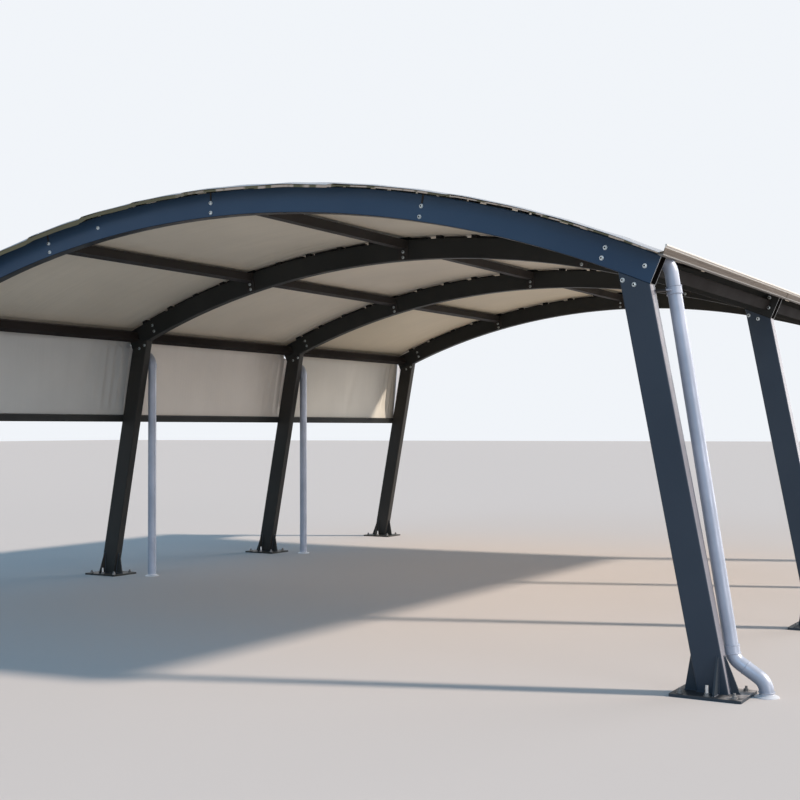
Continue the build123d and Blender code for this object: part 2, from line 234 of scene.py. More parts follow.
# %% Material helpers
class Finish:
    """A material under construction: its tree, its shader and its coordinates."""

    def __init__(self, name, roughness, metallic=0.0, specular=0.5, coordinates="Object"):
        self.material = bpy.data.materials.new(name)
        self.material.use_nodes = True
        self.tree = self.material.node_tree
        self.shader = self.tree.nodes["Principled BSDF"]
        self.shader.inputs["Roughness"].default_value = roughness
        self.shader.inputs["Metallic"].default_value = metallic
        self.shader.inputs["Specular IOR Level"].default_value = specular
        spot = add_node(self.tree, "ShaderNodeTexCoord")
        self.place = spot.outputs[coordinates]
        self.facing = spot.outputs["Normal"]

    def stretched(self, scale):
        """Coordinates scaled differently along each axis."""
        inputs = {"Vector": self.place, "Scale": scale}
        return add_node(self.tree, "ShaderNodeMapping", inputs).outputs["Vector"]

    def noise(self, scale, detail=3.0, vector=None):
        """A noise pattern's grey value."""
        inputs = {"Vector": vector or self.place, "Scale": scale, "Detail": detail}
        return add_node(self.tree, "ShaderNodeTexNoise", inputs).outputs["Fac"]

    def band(self, value, low, high, start=0.0, end=1.0):
        """Stretch a range of values to another one, and clamp it."""
        inputs = {"Value": value, "From Min": low, "From Max": high, "To Min": start, "To Max": end}
        return add_node(self.tree, "ShaderNodeMapRange", inputs).outputs["Result"]

    def times(self, first, *others):
        """The product of a value and further values or plain numbers."""
        for other in others:
            first = maths(self.tree, "MULTIPLY", first, other)
        return first

    def from_nearest(self, value, first, pitch):
        """Distance from the nearest of a row of places that starts at first."""
        moved = maths(self.tree, "ADD", value, pitch / 2 - first)
        wrapped = maths(self.tree, "WRAP", moved, pitch, 0.0)
        return maths(self.tree, "ABSOLUTE", maths(self.tree, "SUBTRACT", wrapped, pitch / 2))

    def mixed(self, factor, *tones):
        """Two colours, or earlier mixes, blended by a grey value."""
        first, second = [(*tone, 1) if isinstance(tone, tuple) else tone for tone in tones]
        inputs = {"Factor": factor, 6: first, 7: second}
        return add_node(self.tree, "ShaderNodeMix", inputs, data_type="RGBA").outputs[2]

    def axis(self, letter, vector):
        """One coordinate of a vector."""
        return add_node(self.tree, "ShaderNodeSeparateXYZ", {0: vector}).outputs[letter]

    def height(self):
        """The height coordinate."""
        return self.axis("Z", self.place)

    def vectors(self, operation, *values):
        """One step of arithmetic on vectors."""
        return add_node(self.tree, "ShaderNodeVectorMath", dict(enumerate(values)), operation=operation)

    def away_from(self, point, scale):
        """Distance from a point, measured only along the axes that the scale keeps."""
        offset = self.vectors("SUBTRACT", self.place, point)
        kept = self.vectors("MULTIPLY", offset.outputs[0], scale)
        return self.vectors("LENGTH", kept.outputs[0]).outputs["Value"]

    def colour(self, value):
        self.tree.links.new(value, self.shader.inputs["Base Color"])

    def roughness(self, value):
        self.tree.links.new(value, self.shader.inputs["Roughness"])

    def bump(self, value, strength, distance):
        """Raise the surface by a grey value, on top of any earlier bump."""
        inputs = {"Height": value, "Strength": strength, "Distance": distance}
        normal = self.shader.inputs["Normal"]
        if normal.is_linked:
            inputs["Normal"] = normal.links[0].from_socket
        bump = add_node(self.tree, "ShaderNodeBump", inputs)
        self.tree.links.new(bump.outputs["Normal"], normal)


print("helpers ready")

# %% [markdown]
# ## Painted steel
# The steel has one dark powder coat, here in copies whose tones paint the light that each part
# gets: blue-grey for the front arch, a painted reflection of the sky, a greyer one for the right
# posts, almost black for the arches inside and the eave purlins, which is painted shade, and
# browner ones for the left posts and plates and the purlins, painted shade with a painted
# reflection of the ground. Powder coat has a fine orange-peel skin, and it catches dust near the
# ground. On the right side the posts stand in the sun, and the faces that look that way have a
# pale painted sheen of sunlight. The insides of the arch tubes, the faces of the front arch that
# look down and the tops of the plates are darker with painted shade, and pale patches on the outer
# ends of the plates are painted sunlight. Painted masks would need a picture for each node, so
# every mask is worked out from the place of a point and the direction of its face.


# %% Painted steel
speckle_tone = (0.12, 0.13, 0.14)
dust_tone = (0.19, 0.18, 0.17)
sun_sheen_tone = (0.29, 0.275, 0.30)
painted_shade_tone = (0.012, 0.010, 0.009)
plate_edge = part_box("base_plate_right_1")[1].x


def painted_sun_sheen(paint, tone, amount):
    """Pale painted sheen of sunlight on the faces that look right, on the right side of the carport."""
    look = paint.band(paint.axis("X", paint.facing), 0.72, 0.93)
    right = paint.band(paint.axis("X", paint.place), 2.0, 2.4)
    patchy = paint.band(paint.noise(3.0, 4.0), 0.30, 0.62, 0.72, 1.0)
    return paint.mixed(paint.times(look, right, patchy, amount), tone, sun_sheen_tone)


def sunlit_and_shaded_top(paint, tone, painted_sunlight):
    """Painted shade on faces that look up, and painted sunlight on the outer ends of the right plates."""
    top = paint.band(paint.axis("Z", paint.facing), 0.6, 0.9)
    tone = paint.mixed(paint.times(top, 0.55), tone, painted_shade_tone)
    outer = paint.band(paint.axis("X", paint.place), plate_edge - 0.125, plate_edge - 0.075)
    sunlit_patches = paint.band(paint.noise(14.0, 4.0), 0.30, 0.55)
    return paint.mixed(paint.times(top, outer, sunlit_patches), tone, painted_sunlight)


def darkened_inside(paint, tone, inside):
    """Painted shade on the inner walls of the arch tubes, in another tone."""
    radius = paint.away_from((middle_x, 0, centre_z), (1, 0, 1))
    off_frame = paint.from_nearest(paint.axis("Y", paint.place), frame_y[0], bay)
    between_sides = paint.band(off_frame, 0.0385, 0.0365)
    above_floor = paint.band(radius, beam_inner_radius + 0.0015, beam_inner_radius + 0.0035)
    under_top = paint.band(radius, beam_radius - 0.0015, beam_radius - 0.0035)
    return paint.mixed(paint.times(between_sides, above_floor, under_top), tone, inside)


def powder_coat(
    name, deep, light, roughness, specular=0.22, sheen_amount=0.0, below=None, inside=None, painted_sunlight=None
):
    """Satin powder coat, with a painted sheen on faces in the sun and painted shade on faces that look
    down and tube insides.
    """
    paint = Finish(name, roughness, specular=specular)
    clouds = paint.noise(1.3, 4.0)
    tone = paint.mixed(paint.band(clouds, 0.35, 0.65), deep, light)
    speckle = paint.band(paint.noise(160.0, 2.0), 0.68, 0.76)
    tone = paint.mixed(paint.times(speckle, 0.18), tone, speckle_tone)
    near_ground = paint.band(paint.height(), 0.0, 0.20, 1.0, 0.0)
    dust = paint.band(paint.noise(9.0, 5.0), 0.35, 0.70)
    tone = paint.mixed(paint.times(near_ground, dust, 0.12), tone, dust_tone)
    if sheen_amount:
        tone = painted_sun_sheen(paint, tone, sheen_amount)
    if below:
        # Faces that look down get painted shade.
        tone = paint.mixed(paint.band(paint.axis("Z", paint.facing), -0.6, -0.9), tone, below)
    if painted_sunlight:
        tone = sunlit_and_shaded_top(paint, tone, painted_sunlight)
    if inside:
        tone = darkened_inside(paint, tone, inside)
    paint.colour(tone)
    paint.roughness(paint.band(paint.noise(6.0, 3.0), 0.3, 0.7, roughness - 0.05, roughness + 0.08))
    paint.bump(paint.noise(420.0, 1.0), 0.10, 0.0006)
    return paint.material


# Front arch: blue-grey, a painted reflection of the sky, with painted shade below and in the tube.
front_paint = powder_coat(
    "front_arch_coat_sky_reflection", (0.027, 0.057, 0.104), (0.035, 0.070, 0.122), 0.33, below=painted_shade_tone, inside=painted_shade_tone
)
# Right posts: the plain coat, with a pale painted sheen of sunlight on the faces that look right.
post_paint = powder_coat("post_coat", (0.036, 0.050, 0.070), (0.045, 0.060, 0.081), 0.33, sheen_amount=1.0)
# Arches inside: almost black, painted shade under the roof.
inner_paint = powder_coat(
    "inner_arch_coat_shade", (0.027, 0.028, 0.027), (0.038, 0.039, 0.037), 0.45, 0.10, inside=painted_shade_tone
)
# Right plates: painted shade on their tops and pale patches of painted sunlight on their outer ends.
plate_paint = powder_coat(
    "plate_coat", (0.037, 0.047, 0.059), (0.047, 0.058, 0.072), 0.42, 0.15, painted_sunlight=(0.40, 0.36, 0.34)
)
# Left posts and plates: browner, painted shade with a painted reflection of the ground.
shaded_paint = powder_coat("shaded_post_coat", (0.033, 0.032, 0.029), (0.045, 0.042, 0.038), 0.45, 0.12)
# Purlins: browner, painted shade under the roof.
purlin_paint = powder_coat("purlin_coat", (0.032, 0.029, 0.027), (0.046, 0.042, 0.040), 0.55, 0.10)
# Eave purlins: almost black, painted shade.
eave_paint = powder_coat("eave_purlin_coat_shade", (0.021, 0.0175, 0.016), (0.031, 0.027, 0.025), 0.60, 0.03)
coats = (front_paint, post_paint, inner_paint, plate_paint, shaded_paint, purlin_paint, eave_paint)
print("powder coats", [coat.name for coat in coats])

# %% [markdown]
# ## Fabrics
# The roof is a coated fabric: a woven cloth under a thin plastic skin. From close by the weave
# shows as a fine grid, from afar only slow stains and a soft sheen do. Modelled threads would be
# far too many, so two wave textures raise the grid as a bump. They read the mesh's own UV map,
# which holds metres along the arch and along the bay, and so the weave follows the cloth. The
# bays differ in tone on the photograph, so each has a copy of the one fabric, whose tone paints
# the light and shade under that bay. At the last edge of the curtains the sun shines through the
# cloth, so that strip scatters light below its surface, and its paler tone paints that light. On
# the hem, pale patches on the right are painted light.


# %% Fabrics
fine_thread = 0.0024
coarse_thread = 0.0030
roof_streaks = (0.6, 14.0, 1.0)
curtain_streaks = (9.0, 0.5, 1.0)
hem_streaks = (3.0, 3.0, 1.0)
patch_scale = (6.0, 0.01, 1.0)


def coated_fabric(name, pale, patchy, thread, streak_scale, specular=0.3, ridge=0.35, light_patch_tone=None):
    """Coated weave with slow stains and faint streaks, on the piece's own UV map in metres."""
    cloth = Finish(name, 0.60, specular=specular, coordinates="UV")
    stains = cloth.noise(0.9, 5.0)
    tone = cloth.mixed(cloth.band(stains, 0.35, 0.70), pale, patchy)
    streaks = cloth.noise(1.0, 4.0, cloth.stretched(streak_scale))
    tone = cloth.mixed(cloth.times(cloth.band(streaks, 0.45, 0.75), 0.35), tone, patchy)
    # Pale patches on the right are painted light.
    if light_patch_tone:
        right = cloth.band(cloth.axis("X", cloth.place), -0.3, 0.2)
        patches = cloth.band(cloth.noise(1.0, 2.0, cloth.stretched(patch_scale)), 0.47, 0.50)
        tone = cloth.mixed(cloth.times(right, patches), tone, light_patch_tone)
    cloth.colour(tone)
    for axis in ("X", "Y"):
        inputs = {"Vector": cloth.place, "Scale": 0.05 * 2 * pi / thread}
        wave = add_node(cloth.tree, "ShaderNodeTexWave", inputs, wave_type="BANDS", bands_direction=axis)
        cloth.bump(wave.outputs["Fac"], 0.25, 0.0003)
    cloth.bump(streaks, ridge, 0.005)
    return cloth.material


def fabric_per_bay(name, tones, fading, streak_scale, ridge):
    """One fabric for each bay, from its tone and a darker one for where it has weathered."""
    fabrics = {}
    for number, tone in enumerate(tones, 1):
        patchy = tuple(fading * channel for channel in tone)
        label = f"{name}_{number}"
        fabrics[number] = coated_fabric(label, tone, patchy, fine_thread, streak_scale, ridge=ridge)
    return fabrics


# Each bay's tone of the lining paints the light and shade under that bay.
roof_tones = ((0.73, 0.66, 0.54), (0.86, 0.77, 0.63), (0.80, 0.70, 0.53))
roof_fabrics = fabric_per_bay("roof_underside", roof_tones, 0.86, roof_streaks, 0.75)
roof_top = coated_fabric(
    "roof_top", (0.52, 0.52, 0.54), (0.44, 0.44, 0.455), fine_thread, roof_streaks, 0.08
)
# Each curtain's tone paints the light and shade on its bay.
curtain_tones = ((0.56, 0.555, 0.53), (0.84, 0.77, 0.69), (0.77, 0.72, 0.63))
curtain_fabrics = fabric_per_bay("curtain_cloth", curtain_tones, 0.87, curtain_streaks, 0.16)
# Paler than the curtain cloth: painted light of the sun shining through.
sunlit_edge_fabric = coated_fabric(
    "curtain_edge_painted_light", (0.92, 0.90, 0.92), (0.85, 0.83, 0.86), fine_thread, curtain_streaks
)
edge_shader = sunlit_edge_fabric.node_tree.nodes["Principled BSDF"]
edge_shader.inputs["Subsurface Weight"].default_value = 0.85
edge_shader.inputs["Subsurface Radius"].default_value = (1.0, 0.95, 0.98)
edge_shader.inputs["Subsurface Scale"].default_value = 0.02
# Olive tone: painted shade under the overhang and a painted green reflection of grass.
hem_fabric = coated_fabric(
    "hem_band",
    (0.165, 0.140, 0.075),
    (0.105, 0.088, 0.050),
    coarse_thread,
    hem_streaks,
    light_patch_tone=(0.56, 0.42, 0.32),
)
print(len(roof_fabrics), "fabrics below the roof and", len(curtain_fabrics), "for the curtains")

# %% [markdown]
# ## Metals, zinc and rubber
# The downpipes are zinc-coated tube that has gone dull, the bolts are brighter zinc, the edge of
# the roof has aluminium bars, and the blocks between the beams and the fabric are black rubber,
# whose black paints the shade in the gap under the fabric. A full metal would mirror the pale
# backdrop and come out too bright, so the metallic value stays low where the surface is dull. The
# five differ only in two tones, gloss and grain, and the flange at a pipe's foot is paler than the
# tube, a painted highlight of the sun on it.


# %% Metals and rubber
flange_top = 0.014
flange_fade = 0.024


def dull_metal(name, deep, light, roughness, metallic, grain, specular=0.5, foot=None):
    """Weathered surface with clouds and grain, and a pale painted highlight at the ground if it has a
    foot tone.
    """
    metal = Finish(name, roughness, metallic, specular)
    clouds = metal.band(metal.noise(5.0, 5.0), 0.35, 0.65)
    tone = metal.mixed(clouds, deep, light)
    if foot:
        tone = metal.mixed(metal.band(metal.height(), flange_fade, flange_top), tone, foot)
    metal.colour(tone)
    metal.roughness(metal.band(metal.noise(9.0, 4.0), 0.3, 0.7, roughness - 0.06, roughness + 0.10))
    metal.bump(metal.noise(grain, 2.0), 0.12, 0.0005)
    return metal.material


# The pale foot tone is a painted highlight of the sun on the flange.
pipe_zinc = dull_metal(
    "pipe_zinc", (0.33, 0.36, 0.43), (0.42, 0.45, 0.53), 0.40, 0.30, 300.0, foot=(0.70, 0.70, 0.73)
)
bolt_zinc = dull_metal("bolt_zinc", (0.52, 0.57, 0.58), (0.70, 0.75, 0.76), 0.34, 0.75, 700.0)
anchor_zinc = dull_metal("anchor_zinc", (0.17, 0.165, 0.16), (0.30, 0.29, 0.285), 0.52, 0.50, 500.0)
edge_metal = dull_metal("edge_metal", (0.56, 0.56, 0.56), (0.68, 0.68, 0.68), 0.38, 0.70, 400.0)
rubber = dull_metal("black_rubber", (0.008, 0.008, 0.008), (0.018, 0.017, 0.016), 0.75, 0.0, 500.0, 0.2)
print("metals", [metal.name for metal in (pipe_zinc, bolt_zinc, anchor_zinc, edge_metal, rubber)])

# %% [markdown]
# ## Gutter sheet
# The gutters are coated sheet in a dark brownish grey, partly the sheet's own tone and partly
# painted shade on the outer wall. Rain leaves long streaks along them, so the noise is squeezed
# along Y. The rolled lip catches the sun, and its cream is a painted highlight, and the bead
# along the bottom is a paler grey. Both could be pieces of their own, but they are part of the
# CAD gutter, so their heights tell the material where they are.


# %% Gutter sheet
def streaked_sheet(name, deep, light, lip_highlight_tone, bead_tone, lip_height, bead_height):
    """Coated sheet with streaks along Y, a cream painted highlight on the lip and a paler bead, at their
    heights.
    """
    sheet = Finish(name, 0.48, specular=0.2)
    streaks = sheet.noise(1.0, 5.0, sheet.stretched((90.0, 1.4, 160.0)))
    tone = sheet.mixed(sheet.band(streaks, 0.35, 0.68), deep, light)
    height = sheet.height()
    lip = sheet.band(height, lip_height - 0.004, lip_height + 0.001)
    bead = sheet.band(height, bead_height + 0.001, bead_height - 0.004)
    for pale_band, pale_tone in ((lip, lip_highlight_tone), (bead, bead_tone)):
        tone = sheet.mixed(pale_band, tone, pale_tone)
    sheet.colour(tone)
    sheet.bump(sheet.noise(240.0, 2.0), 0.10, 0.0005)
    return sheet.material


gutter_low, gutter_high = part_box("gutter_right")
lip_foot = gutter_high.z - 0.017
bead_top = gutter_low.z + 0.010
# The lip's cream is a painted highlight of the sun.
painted_lip_highlight = (0.74, 0.68, 0.61)
bead_grey = (0.20, 0.185, 0.17)
# The sheet's dark tones are partly its own and partly painted shade on the outer wall.
gutter_sheet = streaked_sheet(
    "gutter_sheet", (0.066, 0.047, 0.032), (0.125, 0.096, 0.071), painted_lip_highlight, bead_grey, lip_foot, bead_top
)
print("gutter from", round(gutter_low.z, 3), "to", round(gutter_high.z, 3))

# %% [markdown]
# ## Finishes for the CAD nodes
# Each CAD node could get its finish on a line of its own, but most of them are alike. So a table
# from the start of a node's name to its finish dresses them all in one loop. A later entry that
# fits wins, which is how the front arch differs from the others.

# %% Dress the CAD nodes
finish_of = {
    "arch_beam": inner_paint,
    "arch_beam_1": front_paint,
    "post": post_paint,
    "post_left": shaded_paint,
    "base_plate": plate_paint,
    "base_plate_left": shaded_paint,
    "curtain_rail": inner_paint,
    "purlin": purlin_paint,
    "eave_purlin": eave_paint,
    "roof_clips": rubber,
    "roof_fabric": roof_top,
    **{f"side_curtain_{number}": cloth for number, cloth in curtain_fabrics.items()},
    "gutter": gutter_sheet,
    "downpipe": pipe_zinc,
}
for name, node in nodes.items():
    fitting = [finish for start, finish in finish_of.items() if name.startswith(start)]
    node.data.materials.clear()
    node.data.materials.append(fitting[-1])
print(len(nodes), "nodes have a finish")

# %% [markdown]
# ## Cloth from a grid
# Both kinds of fabric start as a grid of points. One function gives each point its place in
# space, another its place on the flat cloth, which becomes the UV map. A cloth simulation could
# find the shape too, but this cloth is tight, so its few dips and folds are known beforehand. Rows
# can be packed closer near the ends, where the cloth bends most. Solidify then gives it two faces
# and an edge, and its material offset lets the inner face have a finish of its own.


# %% Cloth helper
cloth_thickness = 0.0014


def eased(share, crowding):
    """Share from 0 to 1, with steps that are smaller near both ends."""
    return share - crowding * sin(2 * pi * share) / (2 * pi)


def add_piece(name, mesh, material):
    """Object for a mesh, with its finish, in the scene."""
    mesh.materials.append(material)
    return add_object(name, mesh)


def lay_flat(mesh, flats):
    """UV map from each point's place on the flat cloth, in metres."""
    layer = mesh.uv_layers.new(name="flat")
    for loop in mesh.loops:
        layer.data[loop.index].uv = flats[loop.vertex_index]


def thicken(piece, thickness):
    """Give a sheet two faces and an edge."""
    solid = piece.modifiers.new("thickness", "SOLIDIFY")
    solid.thickness = thickness
    solid.offset = 0.0
    return solid


def shade_smooth(mesh):
    mesh.polygons.foreach_set("use_smooth", [True] * len(mesh.polygons))


def attach(piece, stands_for=None):
    """Let a piece ride on the carport's one body, in place of a CAD node if it stands for one."""
    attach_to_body(piece, "root")
    if stands_for is not None:
        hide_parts(stands_for)


def cloth_grid(name, across, along, place, measure, material, inner_material=None):
    """Sheet of across by along squares: place gives a point, measure its flat coordinates."""
    shares = [(i / across, j / along) for i in range(across + 1) for j in range(along + 1)]
    row = along + 1
    corners = [i * row + j for i in range(across) for j in range(along)]
    faces = [(c, c + row, c + row + 1, c + 1) for c in corners]
    mesh = bpy.data.meshes.new(name)
    mesh.from_pydata([place(s, t) for s, t in shares], [], faces)
    lay_flat(mesh, [measure(s, t) for s, t in shares])
    shade_smooth(mesh)
    piece = add_piece(name, mesh, material)
    solid = thicken(piece, cloth_thickness)
    if inner_material is not None:
        mesh.materials.append(inner_material)
        solid.material_offset = 1
    return piece


print("cloth is", cloth_thickness * 1000, "mm thick")

# %% [markdown]
# ## Shape of the roof fabric
# Each bay has its own panel, pulled over the arches. Tight cloth is nearly a true cylinder, but
# not quite. It dips between the arches and between two clips, long ripples run beside each arch,
# and the free edges at the front and back sag in front of the beams, less on one side than on
# the other. A displacement texture could make the ripples, but one function that says how far the
# cloth lies inside the cylinder also keeps the hems and the cover strips on it. The sag is a
# short list of angles in degrees and drops in millimetres.

# %% Roof shape
clip_pitch = 0.319
clip_half_depth = 0.032
bay_dip = 0.008
clip_dip = 0.0032
clip_dip_reach = 0.22
ripple_height = 0.0090
ripple_pitch = 0.105
ripple_start = 0.09
ripple_reach = 0.50
slow_wave = 0.0020
edge_sag = (
    *((-24, 43), (-16.3, 47), (-16.2, 36), (-12.3, 43), (-12.2, 30), (-8.3, 37), (-8.2, 25), (-4.8, 33)),
    *((-4.7, 25), (-1.4, 29), (-1.3, 22), (7.5, 24), (7.6, 14), (13.7, 16), (13.8, 11), (24, 11)),
)


def between(stations, position):
    """Value at a position, from a rising list of (position, value)."""
    for (start, first), (end, last) in zip(stations, stations[1:]):
        if position <= end:
            share = max(0.0, (position - start) / (end - start))
            return first + share * (last - first)
    return stations[-1][1]


def edge_share(y):
    """0 over the clips of an end frame and 1 at the free edge, with the edge's direction."""
    overhang = frame_y[0] - clip_half_depth - roof_low.y
    front = (frame_y[0] - clip_half_depth - y) / overhang
    back = (y - frame_y[-1] - clip_half_depth) / overhang
    return (front, -1) if front > back else (back, 1)


def roof_offset(angle, y):
    """How far the fabric lies inside its true cylinder at a point."""
    nearest = min(abs(y - depth) for depth in frame_y)
    arc = angle * fabric_radius
    dip = bay_dip * sin(pi * min(nearest, bay / 2) / bay)
    near_clips = max(0.0, 1 - nearest / clip_dip_reach)
    pinch = clip_dip * (0.5 - 0.5 * cos(2 * pi * arc / clip_pitch)) * near_clips
    wander = 1.1 * sin(1.7 * arc + y) + 0.7 * sin(3.7 * arc + 1.0)
    fade = max(0.0, 1 - nearest / ripple_reach) * min(1.0, nearest / ripple_start)
    strength = max(0.0, 0.45 + 0.55 * sin(2.3 * arc + 1.7 * y))
    crease = abs(sin(pi * nearest / ripple_pitch + wander)) ** 1.6
    ripple = ripple_height * fade * strength * crease
    slow = slow_wave * sin(0.9 * arc + 2.2 * y) * sin(2.6 * y - 0.7 * arc)
    share, direction = edge_share(y)
    sag = 0.0
    if share > 0:
        turned = degrees(angle) if direction < 0 else -degrees(angle)
        sag = between(edge_sag, turned) / 1000 * share**1.4
    return dip + pinch + ripple + abs(slow) + sag


def on_roof(angle, y, lift=0.0):
    """Point on the fabric, or that much further out."""
    return on_arch(fabric_radius - roof_offset(angle, y) + lift, angle, y)


def roof_strip(low_y, high_y, crowding=0.0, end_angle=half_angle, lift=0.0):
    """Place and measure functions of a strip of roof cloth between two depths."""

    def depth_at(t):
        return low_y + eased(t, crowding) * (high_y - low_y)

    def place(s, t):
        return on_roof((2 * s - 1) * end_angle, depth_at(t), lift)

    def measure(s, t):
        return (s - 0.5) * arc_length, depth_at(t)

    return place, measure


print("sag at the crown", between(edge_sag, 0.0), "mm")

# %% [markdown]
# ## Roof panels
# The three panels use the shape above, with rows packed closer beside the arches, where the
# ripples are. Each stands for its CAD solid, and its lining has the tone of its bay. They could be
# one long sheet, but the real roof is made of one panel for each bay, with joints over the
# arches.

# %% Roof panels
roof_pieces = []
for number in range(1, frame_count):
    low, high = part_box(f"roof_fabric_{number}")
    place, measure = roof_strip(low.y, high.y, crowding=0.6)
    lining = roof_fabrics[number]
    panel = cloth_grid(f"roof_panel_{number}", 240, 80, place, measure, roof_top, lining)
    roof_pieces.append(panel)
    attach(panel, stands_for=f"roof_fabric_{number}")
print(len(roof_pieces), "panels,", round(arc_length, 3), "m over the arch")

# %% [markdown]
# ## Hem bands
# The free edges are stiffened by a band that folds down at the front and runs back under the
# fabric. Its olive tone is painted shade under the overhang with a painted green reflection of
# grass, and its pale patches on the right are painted light. It comes in lengths, and each length
# laps over the next, which gives the edge its small steps. A curve with a profile could be swept
# along the arch, but it would not follow the sag or lap over itself. Here the section is a short
# path of depth and drop, and each of its points is put on the roof's own shape.

# %% Hem bands
hem_thickness = 0.0016
hem_inset = 0.0012
hem_lap = 0.030
hem_gap = 0.0022
hem_step = 0.0060
hem_square = 0.06
hem_depths = (0.0, 0.0, 0.022, 0.045, 0.068)
lip_heights = (
    *((-24, 26), (-16.3, 32), (-16.2, 24), (-12.3, 30), (-12.2, 26), (-8.3, 32), (-8.2, 20), (-4.8, 25)),
    *((-4.7, 16), (-1.4, 20), (-1.3, 12), (7.5, 15), (7.6, 8), (13.7, 10), (13.8, 6), (24, 7)),
)
hem_joints = (-23.4, -20.1, -16.25, -12.25, -8.25, -4.75, -1.35, 3.2, 7.55, 13.75, 18.4, 23.4)
hem_columns = len(hem_depths)


def hem_section(angle, share, edge_y, direction):
    """Points across the hem at one angle, with their flat coordinates."""
    turned = -direction * angle
    lap = hem_gap + hem_step * (1 - share)
    points = []
    flats = []
    for k, depth in enumerate(hem_depths):
        lip = between(lip_heights, degrees(angle)) / 1000 if k == 0 else 0.0
        points.append(on_roof(turned, edge_y - direction * (depth + hem_inset), -lap - lip))
        flats.append((turned * fabric_radius, depth))
    return points, flats


def hem_band(name, direction):
    """Lapped lengths of hem along one free edge: direction is -1 for the front and 1 for the back."""
    edge_y = roof_low.y if direction < 0 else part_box(f"roof_fabric_{frame_count - 1}")[1].y
    points = []
    flats = []
    faces = []
    for first, last in zip(hem_joints, hem_joints[1:]):
        start = radians(first)
        end = radians(last) + hem_lap / fabric_radius
        steps = max(4, ceil((end - start) * fabric_radius / hem_square))
        for i in range(steps + 1):
            share = i / steps
            angle = min(start + share * (end - start), half_angle)
            section = hem_section(angle, share, edge_y, direction)
            points += section[0]
            flats += section[1]
            if i:
                base = len(points) - 2 * hem_columns
                corners = range(base, base + hem_columns - 1)
                faces += [(c, c + 1, c + hem_columns + 1, c + hem_columns) for c in corners]
    mesh = bpy.data.meshes.new(name)
    mesh.from_pydata(points, [], faces)
    lay_flat(mesh, flats)
    piece = add_piece(name, mesh, hem_fabric)
    thicken(piece, hem_thickness)
    attach(piece)
    return piece


front_hem = hem_band("hem_band_front", -1)
back_hem = hem_band("hem_band_back", 1)
print("hems of", len(front_hem.data.polygons), "faces each")

# %% [markdown]
# ## Cover strips
# Where two panels meet over a frame, a strip of the same fabric is welded over the joint to keep
# the rain out. It could be painted on the panels, but then it would have no edge. It follows the
# panels a little further out, so its two edges show as fine steps.

# %% Cover strips
cover_width = 0.110
cover_gap = 0.0016
cover_end_turn = 0.002
covers = []
for number, depth in enumerate(frame_y[1:-1], 2):
    reach = cover_width / 2
    place, measure = roof_strip(
        depth - reach, depth + reach, end_angle=half_angle - cover_end_turn, lift=cover_gap
    )
    cover = cloth_grid(f"cover_strip_{number}", 240, 6, place, measure, roof_top)
    attach(cover)
    covers.append(cover)
print(len(covers), "cover strips")

# %% [markdown]
# ## The pieces on each roof panel
# The hems and the cover strips are sewn or welded to the outer panels, so each outer panel's
# pieces are listed with it.

for number, panel in enumerate(roof_pieces, 1):
    low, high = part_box(f"roof_fabric_{number}")
    extras = {1: [front_hem, covers[0]], frame_count - 1: [back_hem, covers[-1]]}.get(number, [])
    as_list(extras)

# %% [markdown]
# ## Side curtains
# The curtains hang from under the left gutter and run down over the outer face of their rail.
# Near the posts they are bunched and fall in upright folds, and elsewhere they show only fine
# ribs and slanting tension lines. All of it fades to nothing at the rail, where the cloth is
# clamped. At the top of each joint the cloth is cut back round the downpipe that passes there,
# and below that its ends reach behind the post. A simulation would need the folds to be packed
# into it first, so here each kind of fold is one line of a formula that can be read and changed.

# %% Side curtains
lean = radians(10.706)
curtain_low, curtain_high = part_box("side_curtain_1")
rail_height = 0.060
curtain_room = 0.004
top_inset = 0.0015
foot_lift = 0.001
curtain_top = Vector((curtain_high.x - top_inset, curtain_high.z))
rail_bottom = Vector((curtain_low.x + curtain_room / 2, curtain_low.z + foot_lift))
rail_top = rail_bottom + rail_height * Vector((sin(lean), cos(lean)))
hang = (curtain_top - rail_top).length
fall_length = hang + rail_height
fall = (rail_top - curtain_top).normalized()
outwards = Vector((fall.y, -fall.x))
curtain_crowding = 0.45
fold_pitch = 0.100
fold_height = 0.030
fold_reach = 0.55
near_fold_reach = 0.30
near_fold_share = 0.35
tied_reach = 0.07
crease_height = 0.0120
rib_pitch = 0.041
rib_height = 0.0003
billow_depth = 0.010
rail_calm = 0.16
top_calm = 0.22
top_share = 0.25
notch_depth = 0.090
notch_round = 0.030
slit = 0.003
tucked = 0.010


def soft_step(value):
    """Soft step from 0 to 1."""
    value = min(1.0, max(0.0, value))
    return value * value * (3 - 2 * value)


def bunched(distance, reach):
    """1 at a curtain's end, fading to 0 over a reach."""
    return max(0.0, 1 - max(0.0, distance) / reach) ** 1.3


